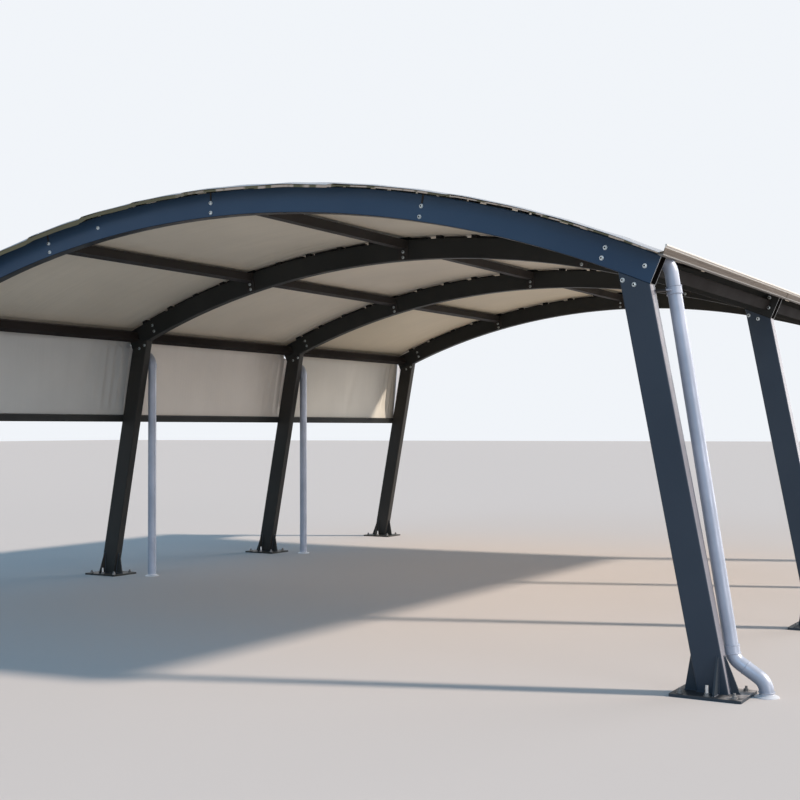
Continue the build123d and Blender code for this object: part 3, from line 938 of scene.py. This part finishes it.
def curtain_between(low_y, high_y, low_reach, high_reach, seed):
    """Place and measure functions of one curtain: each end reaches further below its notch."""

    def ends(down):
        opened = soft_step((down - notch_depth) / notch_round)
        return low_y - low_reach * opened, high_y + high_reach * opened

    def depth_at(s, down):
        start, end = ends(down)
        return start + eased(s, curtain_crowding) * (end - start)

    def outward(s, down):
        """How far the folds, creases, ribs and the billow push the cloth out at a point."""
        y = depth_at(s, down)
        near_bunch = near_fold_share * bunched(y - low_y, near_fold_reach)
        bunch = max(bunched(high_y - y, fold_reach), near_bunch)
        held = min(1.0, max(0.0, hang - down) / rail_calm) * min(1.0, top_share + down / top_calm)
        slant = y + 0.10 * down + 0.010 * sin(4.0 * down + seed)
        tied = soft_step((ends(down)[1] - y) / tied_reach)
        folds = fold_height * bunch * tied * abs(sin(pi * slant / fold_pitch + seed)) ** 1.4
        tension = sin(6.3 * (y + 0.36 * down) + seed) * sin(2.1 * y + seed)
        creases = crease_height * (1 - bunch) * max(0.0, tension) ** 9
        ribs = rib_height * sin(2 * pi * y / rib_pitch + 1.3 * sin(5.0 * down + seed + 3.0 * y))
        billow = billow_depth * sin(pi * min(1.0, down / hang)) * sin(pi * eased(s, curtain_crowding))
        return held * (folds + creases + ribs + billow)

    def place(s, t):
        down = t * fall_length
        point = curtain_top + fall * min(down, hang)
        if down > hang:
            point = rail_top + (rail_bottom - rail_top) * ((down - hang) / rail_height)
        point += outwards * outward(s, down)
        return Vector((point.x, depth_at(s, down), point.y))

    def measure(s, t):
        return depth_at(s, t * fall_length), -t * fall_length

    return place, measure


curtain_boxes = [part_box(f"side_curtain_{number}") for number in range(1, frame_count)]
for number, (low, high) in enumerate(curtain_boxes, 1):
    low_reach = 0.0
    high_reach = 0.0
    if number > 1:
        low_reach = tucked
    if number < len(curtain_boxes):
        high_reach = curtain_boxes[number][0].y - high.y - slit - tucked
    place, measure = curtain_between(low.y, high.y, low_reach, high_reach, 1.9 * number)
    curtain = cloth_grid(f"curtain_{number}", 300, 60, place, measure, curtain_fabrics[number])
    attach(curtain, stands_for=f"side_curtain_{number}")
last_place = place

# %% [markdown]
# ## The last edge of the curtains
# The far end of the last curtain turns in towards its post, where it is tied. It could be a part
# of the curtain's own grid, but the sun shines through it, so it has a finish of its own, whose
# paler tone paints that light. A narrow strip closes the gap. It starts on the curtain's own edge,
# so it reads the same place function, and bends in an S towards the outer face of the post.

# %% Curtain return
foot_half_span = 3.345
return_gap = 0.003
return_width = 0.11
return_share = 0.93
return_depth = 0.030
return_bend = 0.006


def outer_face(height):
    """Distance of a post's outer face from the middle of the span."""
    return foot_half_span - height * tan(lean)


def return_place(s, t):
    start = last_place(1.0, t * return_share)
    post_x = middle_x - outer_face(start.z) - return_gap
    bend = return_bend * sin(2 * pi * s) * sin(pi * t)
    y = start.y - return_depth * soft_step(s) + bend
    return Vector((start.x + s * (post_x - start.x), y, start.z))


def return_measure(s, t):
    return s * return_width, -t * return_share * fall_length


curtain_return = cloth_grid("curtain_return", 16, 60, return_place, return_measure, sunlit_edge_fabric)
attach(curtain_return)
print("the return closes", round(return_place(1, 0.5).x - return_place(0, 0.5).x, 3), "m")

# %% [markdown]
# ## Geometry Nodes as a stamp
# What repeats is stamped by Geometry Nodes. A loop that copies a mesh could do it too, but a tree
# keeps the shape and the places apart, and its sizes are inputs that a person can turn later. The
# input is a mesh of loose points, and each point carries which way its copy looks. The tree puts
# a copy on every point and makes real mesh of them. The script reads the result off the evaluated
# object and keeps it as a plain mesh.


# %% Node tree helpers
def group_tree(name, inputs):
    """Geometry Nodes tree with named inputs, a list of (name, socket kind, default).

    It comes with what its inputs give and with its output node.
    """
    tree = bpy.data.node_groups.new(name, "GeometryNodeTree")
    tree.interface.new_socket("Geometry", in_out="INPUT", socket_type="NodeSocketGeometry")
    tree.interface.new_socket("Geometry", in_out="OUTPUT", socket_type="NodeSocketGeometry")
    for label, kind, default in (*inputs, ("Finish", "NodeSocketMaterial", None)):
        socket = tree.interface.new_socket(label, in_out="INPUT", socket_type=kind)
        if default is not None:
            socket.default_value = default
    return tree, add_node(tree, "NodeGroupInput").outputs, add_node(tree, "NodeGroupOutput")


def named(tree, name):
    """A vector that each point carries under a name."""
    kind = "GeometryNodeInputNamedAttribute"
    return add_node(tree, kind, {"Name": name}, data_type="FLOAT_VECTOR").outputs["Attribute"]


def facing(tree, label):
    """Rotation that turns Z to the point's vector of that name."""
    inputs = {"Vector": named(tree, label)}
    return add_node(tree, "FunctionNodeAlignRotationToVector", inputs, axis="Z").outputs["Rotation"]


def painted_by(tree, shape, finish):
    """A shape with a finish of its own."""
    inputs = {"Geometry": shape, "Material": finish}
    return add_node(tree, "GeometryNodeSetMaterial", inputs).outputs["Geometry"]


def stamped(tree, made, points, shape, rotation, scale=None, finish=None):
    """End of a tree: copies of a shape on points, made real, and painted if a finish is given."""
    inputs = {"Points": points, "Instance": shape, "Rotation": rotation}
    if scale is not None:
        inputs["Scale"] = scale
    copies = add_node(tree, "GeometryNodeInstanceOnPoints", inputs).outputs["Instances"]
    result = add_node(tree, "GeometryNodeRealizeInstances", {"Geometry": copies}).outputs["Geometry"]
    if finish is not None:
        result = painted_by(tree, result, finish)
    tree.links.new(result, made.inputs["Geometry"])


def seats(places, labels):
    """Mesh of loose points with vectors: places is a list of (point, vector, ...)."""
    mesh = bpy.data.meshes.new("seats")
    mesh.from_pydata([entry[0] for entry in places], [], [])
    for k, label in enumerate(labels, 1):
        layer = mesh.attributes.new(label, "FLOAT_VECTOR", "POINT")
        for item, entry in zip(layer.data, places):
            item.vector = entry[k]
    return mesh


def grown(name, tree, source, values):
    """Run a tree on a source mesh, keep the result as a plain mesh and attach it."""
    holder = add_object(name + "_source", source)
    modifier = holder.modifiers.new("grow", "NODES")
    modifier.node_group = tree
    for item in tree.interface.items_tree:
        if item.item_type == "SOCKET" and item.in_out == "INPUT" and item.name in values:
            modifier[item.identifier] = values[item.name]
    graph = bpy.context.evaluated_depsgraph_get()
    mesh = bpy.data.meshes.new_from_object(holder.evaluated_get(graph))
    bpy.data.objects.remove(holder)
    mesh.name = name
    piece = add_object(name, mesh)
    attach(piece)
    return piece


print("node helpers ready")

# %% [markdown]
# ## The bolt tree
# A bolt is a washer, a six-sided head with a chamfer and the end of the stud. A thread isn't
# modelled, as no one sees it from a few steps away. All are cones whose sizes come from the
# tree's inputs. Each bolt is turned about its own axis by a random angle, as no one lines up bolt
# heads, and the seed keeps the angles the same in every run. The stud has its own finish, so both
# finishes are set before the copies are made.

# %% Bolt tree
bolt_inputs = [
    ("Head Width", "NodeSocketFloat", 0.018),
    ("Head Height", "NodeSocketFloat", 0.008),
    ("Washer Width", "NodeSocketFloat", 0.0255),
    ("Washer Thickness", "NodeSocketFloat", 0.0025),
    ("Tip Width", "NodeSocketFloat", 0.0115),
    ("Tip Length", "NodeSocketFloat", 0.0085),
    ("Seed", "NodeSocketInt", 5),
    ("Tip Finish", "NodeSocketMaterial", None),
]
chamfer_share = 0.18
bolt_tree, given, made = group_tree("bolts", bolt_inputs)


def standing(corners, width, taper, height, foot=0.0):
    """Upright prism or cone of the bolt tree, with its foot at a height."""
    inputs = {
        "Vertices": corners,
        "Radius Top": maths(bolt_tree, "MULTIPLY", width, 0.5 * taper),
        "Radius Bottom": maths(bolt_tree, "MULTIPLY", width, 0.5),
        "Depth": height,
    }
    shape = add_node(bolt_tree, "GeometryNodeMeshCone", inputs).outputs["Mesh"]
    lift = add_node(bolt_tree, "ShaderNodeCombineXYZ", {"Z": foot}).outputs[0]
    inputs = {"Geometry": shape, "Translation": lift}
    return add_node(bolt_tree, "GeometryNodeTransform", inputs).outputs["Geometry"]


def joined(*shapes):
    """Several shapes of the bolt tree as one."""
    together = add_node(bolt_tree, "GeometryNodeJoinGeometry")
    for shape in shapes:
        bolt_tree.links.new(shape, together.inputs[0])
    return together.outputs[0]


head_height = given["Head Height"]
shoulder = maths(bolt_tree, "MULTIPLY", head_height, 1 - chamfer_share)
chamfer = maths(bolt_tree, "MULTIPLY", head_height, chamfer_share)
corner_width = maths(bolt_tree, "MULTIPLY", given["Head Width"], 1 / cos(pi / 6))
washer_top = given["Washer Thickness"]
shoulder_top = maths(bolt_tree, "ADD", washer_top, shoulder)
bright = joined(
    standing(20, given["Washer Width"], 0.97, washer_top),
    standing(6, corner_width, 1.0, shoulder, washer_top),
    standing(6, corner_width, 0.86, chamfer, shoulder_top),
)
tip = standing(12, given["Tip Width"], 0.92, given["Tip Length"], washer_top)
bolt_shape = joined(
    painted_by(bolt_tree, bright, given["Finish"]), painted_by(bolt_tree, tip, given["Tip Finish"])
)
spin_inputs = {2: 0.0, 3: 2 * pi, "Seed": given["Seed"]}
spin = add_node(bolt_tree, "FunctionNodeRandomValue", spin_inputs, data_type="FLOAT")
about = add_node(bolt_tree, "FunctionNodeAxisAngleToRotation", {"Angle": spin.outputs[1]})
turn_inputs = {"Rotation": facing(bolt_tree, "axis"), "Rotate By": about.outputs["Rotation"]}
turned = add_node(bolt_tree, "FunctionNodeRotateRotation", turn_inputs, rotation_space="LOCAL")
stamped(bolt_tree, made, given["Geometry"], bolt_shape, turned.outputs["Rotation"])


def add_bolts(name, places, sizes, finish, tip_finish):
    """One mesh of bolts: each place is (point, axis), and sizes are inputs of the bolt tree."""
    values = {**sizes, "Finish": finish, "Tip Finish": tip_finish}
    return grown(name, bolt_tree, seats(places, ["axis"]), values)


print("bolt tree has", len(bolt_tree.nodes), "nodes")

# %% [markdown]
# ## Where the frame bolts sit
# Pairs of bolts run through the beams where a purlin meets them and where a post meets them. One
# more holds the eave purlin, and two hold the head of each post. The outer faces of the end
# frames show all of them. On the inner faces the purlins' end plates carry the bolts. Their
# places could be clicked one by one. As distances and turns from the arch's centre they are
# written once, and every frame gets the same ones.

# %% Frame bolts
purlin_turn = purlin_arc / beam_radius
outer_purlin_turns = (-radians(11.4), 0.0, purlin_turn)
outer_purlin_radii = (7.420, 7.357)
joint_turn = radians(21.3)
joint_radii = (7.430, 7.372)
end_turn = radians(23.2)
end_radius = 7.409
end_pair_radii = (7.462, 7.396)
end_pair_turns = (radians(23.2), radians(23.36))
inner_purlin_radii = (7.397, 7.352)
end_plate = 0.008
post_bolts = ((2.795, 2.142), (2.859, 2.115))
lone_bolt_turn = -radians(7.69)
lone_bolt_radius = 7.411


def row_of_bolts(radii, turn, y):
    """Points at several distances from the arch's centre."""
    return [on_arch(radius, turn, y) for radius in radii]


def bolt_spots(face_y, look, is_outer):
    """Points of all bolts on one face of a frame."""
    spots = [Vector((middle_x + side * out, face_y, up)) for side in (-1, 1) for out, up in post_bolts]
    if is_outer:
        for side in (-1, 1):
            spots += row_of_bolts(joint_radii, side * joint_turn, face_y)
        spots += [on_arch(end_radius, side * end_turn, face_y) for side in (-1, 1)]
        for turn in outer_purlin_turns:
            spots += row_of_bolts(outer_purlin_radii, -look * turn, face_y)
        spots.append(on_arch(lone_bolt_radius, -look * lone_bolt_turn, face_y))
        return spots
    spots += row_of_bolts(joint_radii, -joint_turn, face_y)
    spots += [on_arch(radius, turn, face_y) for radius, turn in zip(end_pair_radii, end_pair_turns)]
    for turn in (-purlin_turn, 0.0, purlin_turn):
        spots += row_of_bolts(inner_purlin_radii, turn, face_y + look * end_plate)
    return spots


frame_bolt_seats = []
for depth in frame_y:
    for look, end_frame in ((-1, frame_y[0]), (1, frame_y[-1])):
        spots = bolt_spots(depth + look * tube_width / 2, look, depth == end_frame)
        frame_bolt_seats += [(spot, Vector((0, look, 0))) for spot in spots]
frame_bolts = add_bolts("frame_bolts", frame_bolt_seats, {}, bolt_zinc, rubber)
print(len(frame_bolt_seats), "frame bolts,", len(frame_bolts.data.polygons), "faces")

# %% [markdown]
# ## Anchors
# Six anchors hold each base plate to the ground. They could be modelled on their own, but a nut
# on a washer is a bolt with a taller stud, so the same tree makes them. The middle one at the
# front sticks out furthest, as in the photograph.

# %% Anchors
plate_thickness = 0.015
anchor_pitch_x = 0.140
anchor_pitch_y = 0.210
upright = Vector((0, 0, 1))
short_seats = []
tall_seats = []
for name in side_of:
    for number, depth in enumerate(frame_y, 1):
        low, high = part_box(f"base_plate_{name}_{number}")
        x = (low.x + high.x) / 2
        for column in (-1, 0, 1):
            for row in (-0.5, 0.5):
                y = depth + row * anchor_pitch_y
                spot = Vector((x + column * anchor_pitch_x, y, plate_thickness))
                (tall_seats if column == 0 and row < 0 else short_seats).append((spot, upright))
anchor = {"Head Width": 0.024, "Head Height": 0.012, "Washer Width": 0.036}
short_stud = {**anchor, "Tip Width": 0.015, "Tip Length": 0.024}
tall_stud = {**anchor, "Tip Width": 0.018, "Tip Length": 0.050}
add_bolts("short_anchors", short_seats, short_stud, anchor_zinc, anchor_zinc)
add_bolts("tall_anchors", tall_seats, tall_stud, anchor_zinc, edge_metal)
print(len(short_seats), "short and", len(tall_seats), "tall anchors")

# %% [markdown]
# ## Blocks
# Straps, bars and rubber pads are all blocks of one kind or another. Each could be a cube that is
# scaled by hand. In the block tree each point brings its own turn, as Euler angles, and its own
# size, so that one tree serves them all.

# %% Block tree
block_tree, given, made = group_tree("blocks", [])
cube = add_node(block_tree, "GeometryNodeMeshCube").outputs["Mesh"]
euler = {"Euler": named(block_tree, "turn")}
rotation = add_node(block_tree, "FunctionNodeEulerToRotation", euler).outputs["Rotation"]
size = named(block_tree, "size")
stamped(block_tree, made, given["Geometry"], cube, rotation, size, given["Finish"])


def add_blocks(name, blocks, finish):
    """One mesh of blocks: each is (centre, turn, size)."""
    return grown(name, block_tree, seats(blocks, ["turn", "size"]), {"Finish": finish})


print("block tree has", len(block_tree.nodes), "nodes")

# %% [markdown]
# ## Pads under the fabric
# Between two clips a black rubber pad lies on the beam and fills part of the gap under the fabric,
# and its black paints the shade in that gap. One long strip would close the gap, but on the
# photograph daylight shows through it as short pale dashes along each arch. So the pads are single
# blocks, cut by hand, with lengths and places that vary. On the front frame they are shorter, and
# more daylight shows. Short straps tie the outer clips to the bolts below them.

# %% Pads and straps
chance = random.Random(7)
clip_rows = 9
clip_room = 0.075
pad_depth = 0.044
pad_sink = 0.0006
front_pad_lengths = (0.10, 0.18)
pad_lengths = (0.175, 0.236)
pad_heights = (0.014, 0.0195)
pads = []
for depth in frame_y:
    lengths = pad_lengths if depth > frame_y[0] else front_pad_lengths
    for row in range(-clip_rows, clip_rows):
        length = chance.uniform(*lengths)
        slack = clip_pitch - clip_room - length
        arc = row * clip_pitch + (clip_room + length) / 2 + chance.random() * slack
        height = chance.uniform(*pad_heights)
        turn = arc / beam_radius
        centre = on_arch(beam_radius + height / 2 - pad_sink, turn, depth)
        pads.append((centre, Vector((0, turn, 0)), Vector((length, pad_depth, height))))
# The black pads are painted shade in the gap under the fabric.
add_blocks("shade_pads", pads, rubber)

strap_width = 0.012
strap_thickness = 0.0022
strap_foot = 7.436
strap_size = Vector((strap_width, strap_thickness, beam_radius - strap_foot))
straps = []
for depth, look in ((frame_y[0], -1), (frame_y[-1], 1)):
    strap_y = depth + look * (tube_width + strap_thickness) / 2
    for turn in outer_purlin_turns:
        centre = on_arch((beam_radius + strap_foot) / 2, -look * turn, strap_y)
        straps.append((centre, Vector((0, -look * turn, 0)), strap_size))
add_blocks("beam_straps", straps, purlin_paint)
print(len(pads), "pads and", len(straps), "straps")

# %% [markdown]
# ## Bars along the eaves and the rail
# An aluminium bar clamps the end of the roof fabric along each eave, and another clamps the foot
# of the curtains to the rail. The bars could follow a curve, but both edges are straight, so a
# block does. They come in one length for each bay, and the places of the small screws that hold
# them are noted on the way.

# %% Clamping bars
bar_width = 0.026
bar_thickness = 0.003
bar_inset = 0.024
eave_bar_lift = 0.0028
eave_bar_gap = 0.012
rail_bar_lift = 0.0024
rail_bar_gap = 0.030
screw_pitch = 0.30
bars = []
screws = []


def clamp(centre, turn, normal, length):
    """Add one bar along Y and its row of screws."""
    bars.append((centre, Vector((0, turn, 0)), Vector((bar_width, length, bar_thickness))))
    screw_gaps = int(length / screw_pitch)
    for k in range(screw_gaps + 1):
        along = Vector((0, (k - screw_gaps / 2) * screw_pitch, 0))
        screws.append((centre + along + normal * bar_thickness / 2, normal))


for side in side_of.values():
    angle = side * (half_angle - bar_inset / fabric_radius)
    normal = Vector((sin(angle), 0, cos(angle)))
    for start, end in zip(frame_y, frame_y[1:]):
        centre = on_arch(fabric_radius + eave_bar_lift, angle, (start + end) / 2)
        clamp(centre, angle, normal, end - start - eave_bar_gap)
rail_out = Vector((-cos(lean), 0, sin(lean)))
rail_middle = (rail_top + rail_bottom) / 2
for low, high in curtain_boxes:
    centre = Vector((rail_middle.x, (low.y + high.y) / 2, rail_middle.y)) + rail_out * rail_bar_lift
    clamp(centre, lean - pi / 2, rail_out, high.y - low.y - rail_bar_gap)
add_blocks("clamping_bars", bars, edge_metal)
print(len(bars), "bars with places for", len(screws), "screws")

# %% [markdown]
# ## Covers over the gutter joints
# Each gutter comes in one length for each bay, and its lengths leave a narrow joint at the two
# middle frames, through which the sky would show as a bright line. A strip of the same sheet is
# fixed over the outer wall there. It could be cut from a copy of the gutter, but it is flat, so a
# thin block will do. The wall leans, and the block leans with it, from the wall's foot to its
# head.

# %% Gutter covers
wall_foot = Vector((3.048, 0.0, 2.2446))
wall_head = Vector((3.066, 0.0, 2.2966))
cover_length = 0.052
cover_sheet = 0.0018
cover_room = 0.004
wall = wall_head - wall_foot
wall_out = Vector((wall.z, 0, -wall.x)).normalized()
wall_turn = pi / 2 - asin(wall.z / wall.length)
cover_spot = (wall_foot + wall_head) / 2 + wall_out * cover_sheet / 2
cover_size = Vector((cover_sheet, cover_length, wall.length - cover_room))
joint_covers = []
for side in side_of.values():
    for depth in frame_y[1:-1]:
        centre = Vector((middle_x + side * cover_spot.x, depth, cover_spot.z))
        joint_covers.append((centre, Vector((0, side * wall_turn, 0)), cover_size))
add_blocks("gutter_covers", joint_covers, gutter_sheet)
print(len(joint_covers), "gutter covers")

# %% [markdown]
# ## Screws in the bars
# The heads of the screws are the smallest bolts of all. Their places were kept when the bars were
# laid out, and the bolt tree makes them with other sizes, which is what its inputs are for.

# %% Bar screws
screw = {
    "Head Width": 0.009,
    "Head Height": 0.004,
    "Washer Width": 0.013,
    "Washer Thickness": 0.001,
    "Tip Width": 0.003,
    "Tip Length": 0.001,
}
add_bolts("bar_screws", screws, screw, bolt_zinc, bolt_zinc)
print(len(screws), "screws")

# %% [markdown]
# ## Pipe rings
# The downpipes are put together from lengths, and each joint shows as a rolled ring. A torus
# would give one ring. The ring tree sweeps a small circle round a large one, stands it square to
# the pipe, and takes both radii as inputs. Each pipe is a path of a few corners, so a ring is
# placed by a height on one of its straights.

# %% Ring tree
ring_inputs = [("Ring Radius", "NodeSocketFloat", 0.040), ("Bead Radius", "NodeSocketFloat", 0.0022)]
ring_tree, given, made = group_tree("rings", ring_inputs)


def circle(resolution, radius):
    """Curve circle of the ring tree, with a radius from its inputs."""
    inputs = {"Resolution": resolution, "Radius": radius}
    return add_node(ring_tree, "GeometryNodeCurvePrimitiveCircle", inputs).outputs["Curve"]


sweep = {"Curve": circle(48, given["Ring Radius"]), "Profile Curve": circle(10, given["Bead Radius"])}
ring = add_node(ring_tree, "GeometryNodeCurveToMesh", sweep).outputs["Mesh"]
along_pipe = facing(ring_tree, "axis")
stamped(ring_tree, made, given["Geometry"], ring, along_pipe, finish=given["Finish"])
print("ring tree has", len(ring_tree.nodes), "nodes")

# %% [markdown]
# ## Where the rings sit
# The right pipes have a collar under the bend at the head and another above the knee, each with a
# ring at both ends, a joint in the slanting piece and a foot ring. The heights were read off the
# photograph, and the pipe's path gives the rest, so a ring can't miss its pipe.

# %% Pipe rings
pipe_radius = 0.0375
collar_radius = 0.0415
foot_radius = 0.0400
right_path = ((3.019, 2.1946), (3.332, 0.180), (3.500, 0.072), (3.500, 0.0))
right_collars = (2.1046, 2.0646, 0.2460, 0.2060)
joint_height = 0.1380
foot_height = 0.0260
pipe_shift = 0.080


def on_path(path, leg, height):
    """x from the middle, and direction, at a height on one leg of a pipe's path."""
    (x1, z1), (x2, z2) = path[leg], path[leg + 1]
    share = (z1 - height) / (z1 - z2)
    return x1 + share * (x2 - x1), Vector((x2 - x1, 0, z2 - z1)).normalized()


def ring_seats(leg, height):
    """The same ring on both right pipes."""
    x, along = on_path(right_path, leg, height)
    pipe_depths = (frame_y[0] + pipe_shift, frame_y[-1] - pipe_shift)
    return [(Vector((middle_x + x, y, height)), along) for y in pipe_depths]


collar_seats = [seat for height in right_collars for seat in ring_seats(0, height)]
for name, places, radius, bead in (
    ("collar_rings", collar_seats, collar_radius, 0.0028),
    ("joint_rings", ring_seats(1, joint_height), pipe_radius, 0.0026),
    ("foot_rings", ring_seats(2, foot_height), foot_radius, 0.0030),
):
    values = {"Ring Radius": radius, "Bead Radius": bead, "Finish": pipe_zinc}
    rings = grown(name, ring_tree, seats(places, ["axis"]), values)
    shade_smooth(rings.data)
    print(len(places), name)

# %% [markdown]
# ## Sleeves on the pipe brackets
# A flat bar under the upper collar holds each right pipe to its post. On the photograph that bar
# can't be told from the dark purlin behind it. The bar is part of the CAD pipe and has the pipe's
# pale finish, so it has a dark sleeve of its own, a little thicker than the bar, that ends inside
# the collar.

# %% Bracket sleeves
bracket_thickness = 0.008
bracket_seat = 0.016
sleeve_room = 0.0015
sleeve_post_gap = 0.001
sleeve_end = 0.026
bracket_height = (right_collars[0] + right_collars[1]) / 2
axis_x = on_path(right_path, 0, bracket_height)[0]
sleeve_start = outer_face(bracket_height) + sleeve_post_gap
sleeve_length = axis_x - sleeve_end - sleeve_start
sleeve_low = tube_width / 2 - bracket_seat - sleeve_room
sleeve_depth = pipe_shift + sleeve_room - sleeve_low
sleeve_size = Vector((sleeve_length, sleeve_depth, bracket_thickness + 2 * sleeve_room))
sleeves = []
for depth, inward in ((frame_y[0], 1), (frame_y[-1], -1)):
    centre_y = depth + inward * (sleeve_low + sleeve_depth / 2)
    centre = Vector((middle_x + sleeve_start + sleeve_length / 2, centre_y, bracket_height))
    sleeves.append((centre, Vector(), sleeve_size))
add_blocks("bracket_sleeves", sleeves, purlin_paint)
print(len(sleeves), "sleeves of", round(sleeve_length * 1000, 1), "mm")

# %% [markdown]
# ## Bright rims
# The ends of the arch tubes were sawn, and a thin bright frame round the dark opening is a painted
# highlight of the sun on the cut edges. A second finish on the CAD beam can't be set face by face,
# because its mesh is left alone. So a rim is a flat ring between two rounded rectangles, set on the
# sawn face.


# %% Tube rims
def rounded_rectangle(width, height, radius, steps):
    """Points of a rounded rectangle about the origin."""
    points = []
    for k, (sx, sy) in enumerate(((1, 1), (-1, 1), (-1, -1), (1, -1))):
        corner = (sx * (width / 2 - radius), sy * (height / 2 - radius))
        for i in range(steps + 1):
            angle = pi / 2 * (k + i / steps)
            points.append((corner[0] + radius * cos(angle), corner[1] + radius * sin(angle)))
    return points


rim_wall = 0.0038
rim_lift = 0.0008
outer_corner = 0.008
inner_corner = 0.004
outer = rounded_rectangle(tube_width, tube_depth, outer_corner, 5)
inner = rounded_rectangle(tube_width - 2 * rim_wall, tube_depth - 2 * rim_wall, inner_corner, 5)
count = len(outer)
beam_turn = asin((beam_high.x - middle_x) / beam_radius)
rim_points = []
rim_faces = []
for depth in frame_y:
    for side in side_of.values():
        angle = side * beam_turn
        middle = on_arch((beam_radius + beam_inner_radius) / 2, angle, depth)
        radial = Vector((sin(angle), 0, cos(angle)))
        past = side * Vector((cos(angle), 0, -sin(angle)))
        base = len(rim_points)
        for lift in (rim_lift, 0.0):
            for ring in (outer, inner):
                rim_points += [middle + Vector((0, u, 0)) + radial * v + past * lift for u, v in ring]
        for i in range(count):
            n = (i + 1) % count
            for a, b in ((0, 1), (1, 3), (3, 2), (2, 0)):
                a, b = base + a * count, base + b * count
                rim_faces.append((a + i, a + n, b + n, b + i))
# The rims are a painted highlight of the sun on the cut edges of the tubes.
rim_mesh = bpy.data.meshes.new("painted_rim_highlights")
rim_mesh.from_pydata(rim_points, [], rim_faces)
attach(add_piece("painted_rim_highlights", rim_mesh, edge_metal))
print(len(frame_y) * len(side_of), "rims")

# %% [markdown]
# ## The weld tree
# A weld is a row of small overlapping scales. A bump texture could show them, but a weld also
# rounds the corner that it fills. The tree takes a path of plain edges, puts a point on it for
# every scale, and sets a flattened ball there that lies along the path. Each ball gets its own
# size from a seeded random value, as a welder's hand is never quite even.

# %% Weld tree
weld_inputs = [
    ("Pitch", "NodeSocketFloat", 0.0072),
    ("Scale Length", "NodeSocketFloat", 0.0056),
    ("Scale Width", "NodeSocketFloat", 0.0042),
    ("Unevenness", "NodeSocketFloat", 0.16),
    ("Seed", "NodeSocketInt", 11),
]
weld_tree, given, made = group_tree("welds", weld_inputs)
path = add_node(weld_tree, "GeometryNodeMeshToCurve", {"Mesh": given["Geometry"]}).outputs["Curve"]
spacing = {"Curve": path, "Length": given["Pitch"]}
dots = add_node(weld_tree, "GeometryNodeCurveToPoints", spacing, mode="LENGTH").outputs
ball_inputs = {"Segments": 8, "Rings": 5, "Radius": 1.0}
ball = add_node(weld_tree, "GeometryNodeMeshUVSphere", ball_inputs).outputs["Mesh"]
half_width = given["Scale Width"]
sides = {"X": given["Scale Length"], "Y": half_width, "Z": half_width}
half_sizes = add_node(weld_tree, "ShaderNodeCombineXYZ", sides).outputs[0]
flattening = {"Geometry": ball, "Scale": half_sizes}
flat_ball = add_node(weld_tree, "GeometryNodeTransform", flattening).outputs["Geometry"]
aim = {"Vector": dots["Tangent"]}
along_path = add_node(weld_tree, "FunctionNodeAlignRotationToVector", aim, axis="X").outputs["Rotation"]
smallest = maths(weld_tree, "SUBTRACT", 1.0, given["Unevenness"])
chance_inputs = {2: smallest, 3: 1.0, "Seed": given["Seed"]}
uneven = add_node(weld_tree, "FunctionNodeRandomValue", chance_inputs, data_type="FLOAT").outputs[1]
stamped(weld_tree, made, dots["Points"], flat_ball, along_path, uneven, given["Finish"])
print("weld tree has", len(weld_tree.nodes), "nodes")

# %% [markdown]
# ## Welds at the feet
# Each post stands in a weld on its plate, and the four gussets are welded to the plate and to the
# post. The posts lean, so the seams on their faces lean too. The seams could be found on the CAD
# mesh, but they are few, so they are written down once for one foot, as lines in the foot's own
# measures, and then set at all eight feet.

# %% Welds
post_span = tube_depth / cos(lean)
gusset_half = 0.005
gusset_tall = 0.185
inner_gusset_foot = 0.075
outer_gusset_foot = 0.045
side_gusset_foot = 0.075
side_gusset_inset = 0.060
side_gusset_x = foot_half_span - side_gusset_inset
face_y = tube_width / 2


def foot_seams():
    """Seams of one foot as pairs of (outwards, along Y, up)."""
    low = plate_thickness
    high = plate_thickness + gusset_tall
    out_low = outer_face(low)
    in_low = out_low - post_span
    in_high = outer_face(high) - post_span
    lines = [
        ((in_low, face_y, low), (out_low, face_y, low)),
        ((in_low, -face_y, low), (out_low, -face_y, low)),
        ((out_low, -face_y, low), (out_low, face_y, low)),
        ((in_low, -face_y, low), (in_low, face_y, low)),
    ]
    for edge in (-gusset_half, gusset_half):
        lines += [
            ((out_low, edge, low), (out_low + outer_gusset_foot, edge, low)),
            ((out_low, edge, low), (outer_face(high), edge, high)),
            ((in_low, edge, low), (in_low - inner_gusset_foot, edge, low)),
            ((in_low, edge, low), (in_high, edge, high)),
        ]
        for hand in (-1, 1):
            x = side_gusset_x + edge
            lines += [
                ((x, hand * face_y, low), (x, hand * (face_y + side_gusset_foot), low)),
                ((x, hand * face_y, low), (x, hand * face_y, high)),
            ]
    return lines


def path_mesh(lines):
    """Mesh of separate edges."""
    mesh = bpy.data.meshes.new("paths")
    points = [point for line in lines for point in line]
    mesh.from_pydata(points, [(2 * i, 2 * i + 1) for i in range(len(lines))], [])
    return mesh


weld_lines = []
for side in side_of.values():
    for depth in frame_y:
        for seam in foot_seams():
            ends = [Vector((middle_x + side * out, depth + along, up)) for out, along, up in seam]
            weld_lines.append(ends)
foot_welds = grown("foot_welds", weld_tree, path_mesh(weld_lines), {"Finish": post_paint})
shade_smooth(foot_welds.data)
print(len(weld_lines), "seams,", len(foot_welds.data.polygons), "faces")
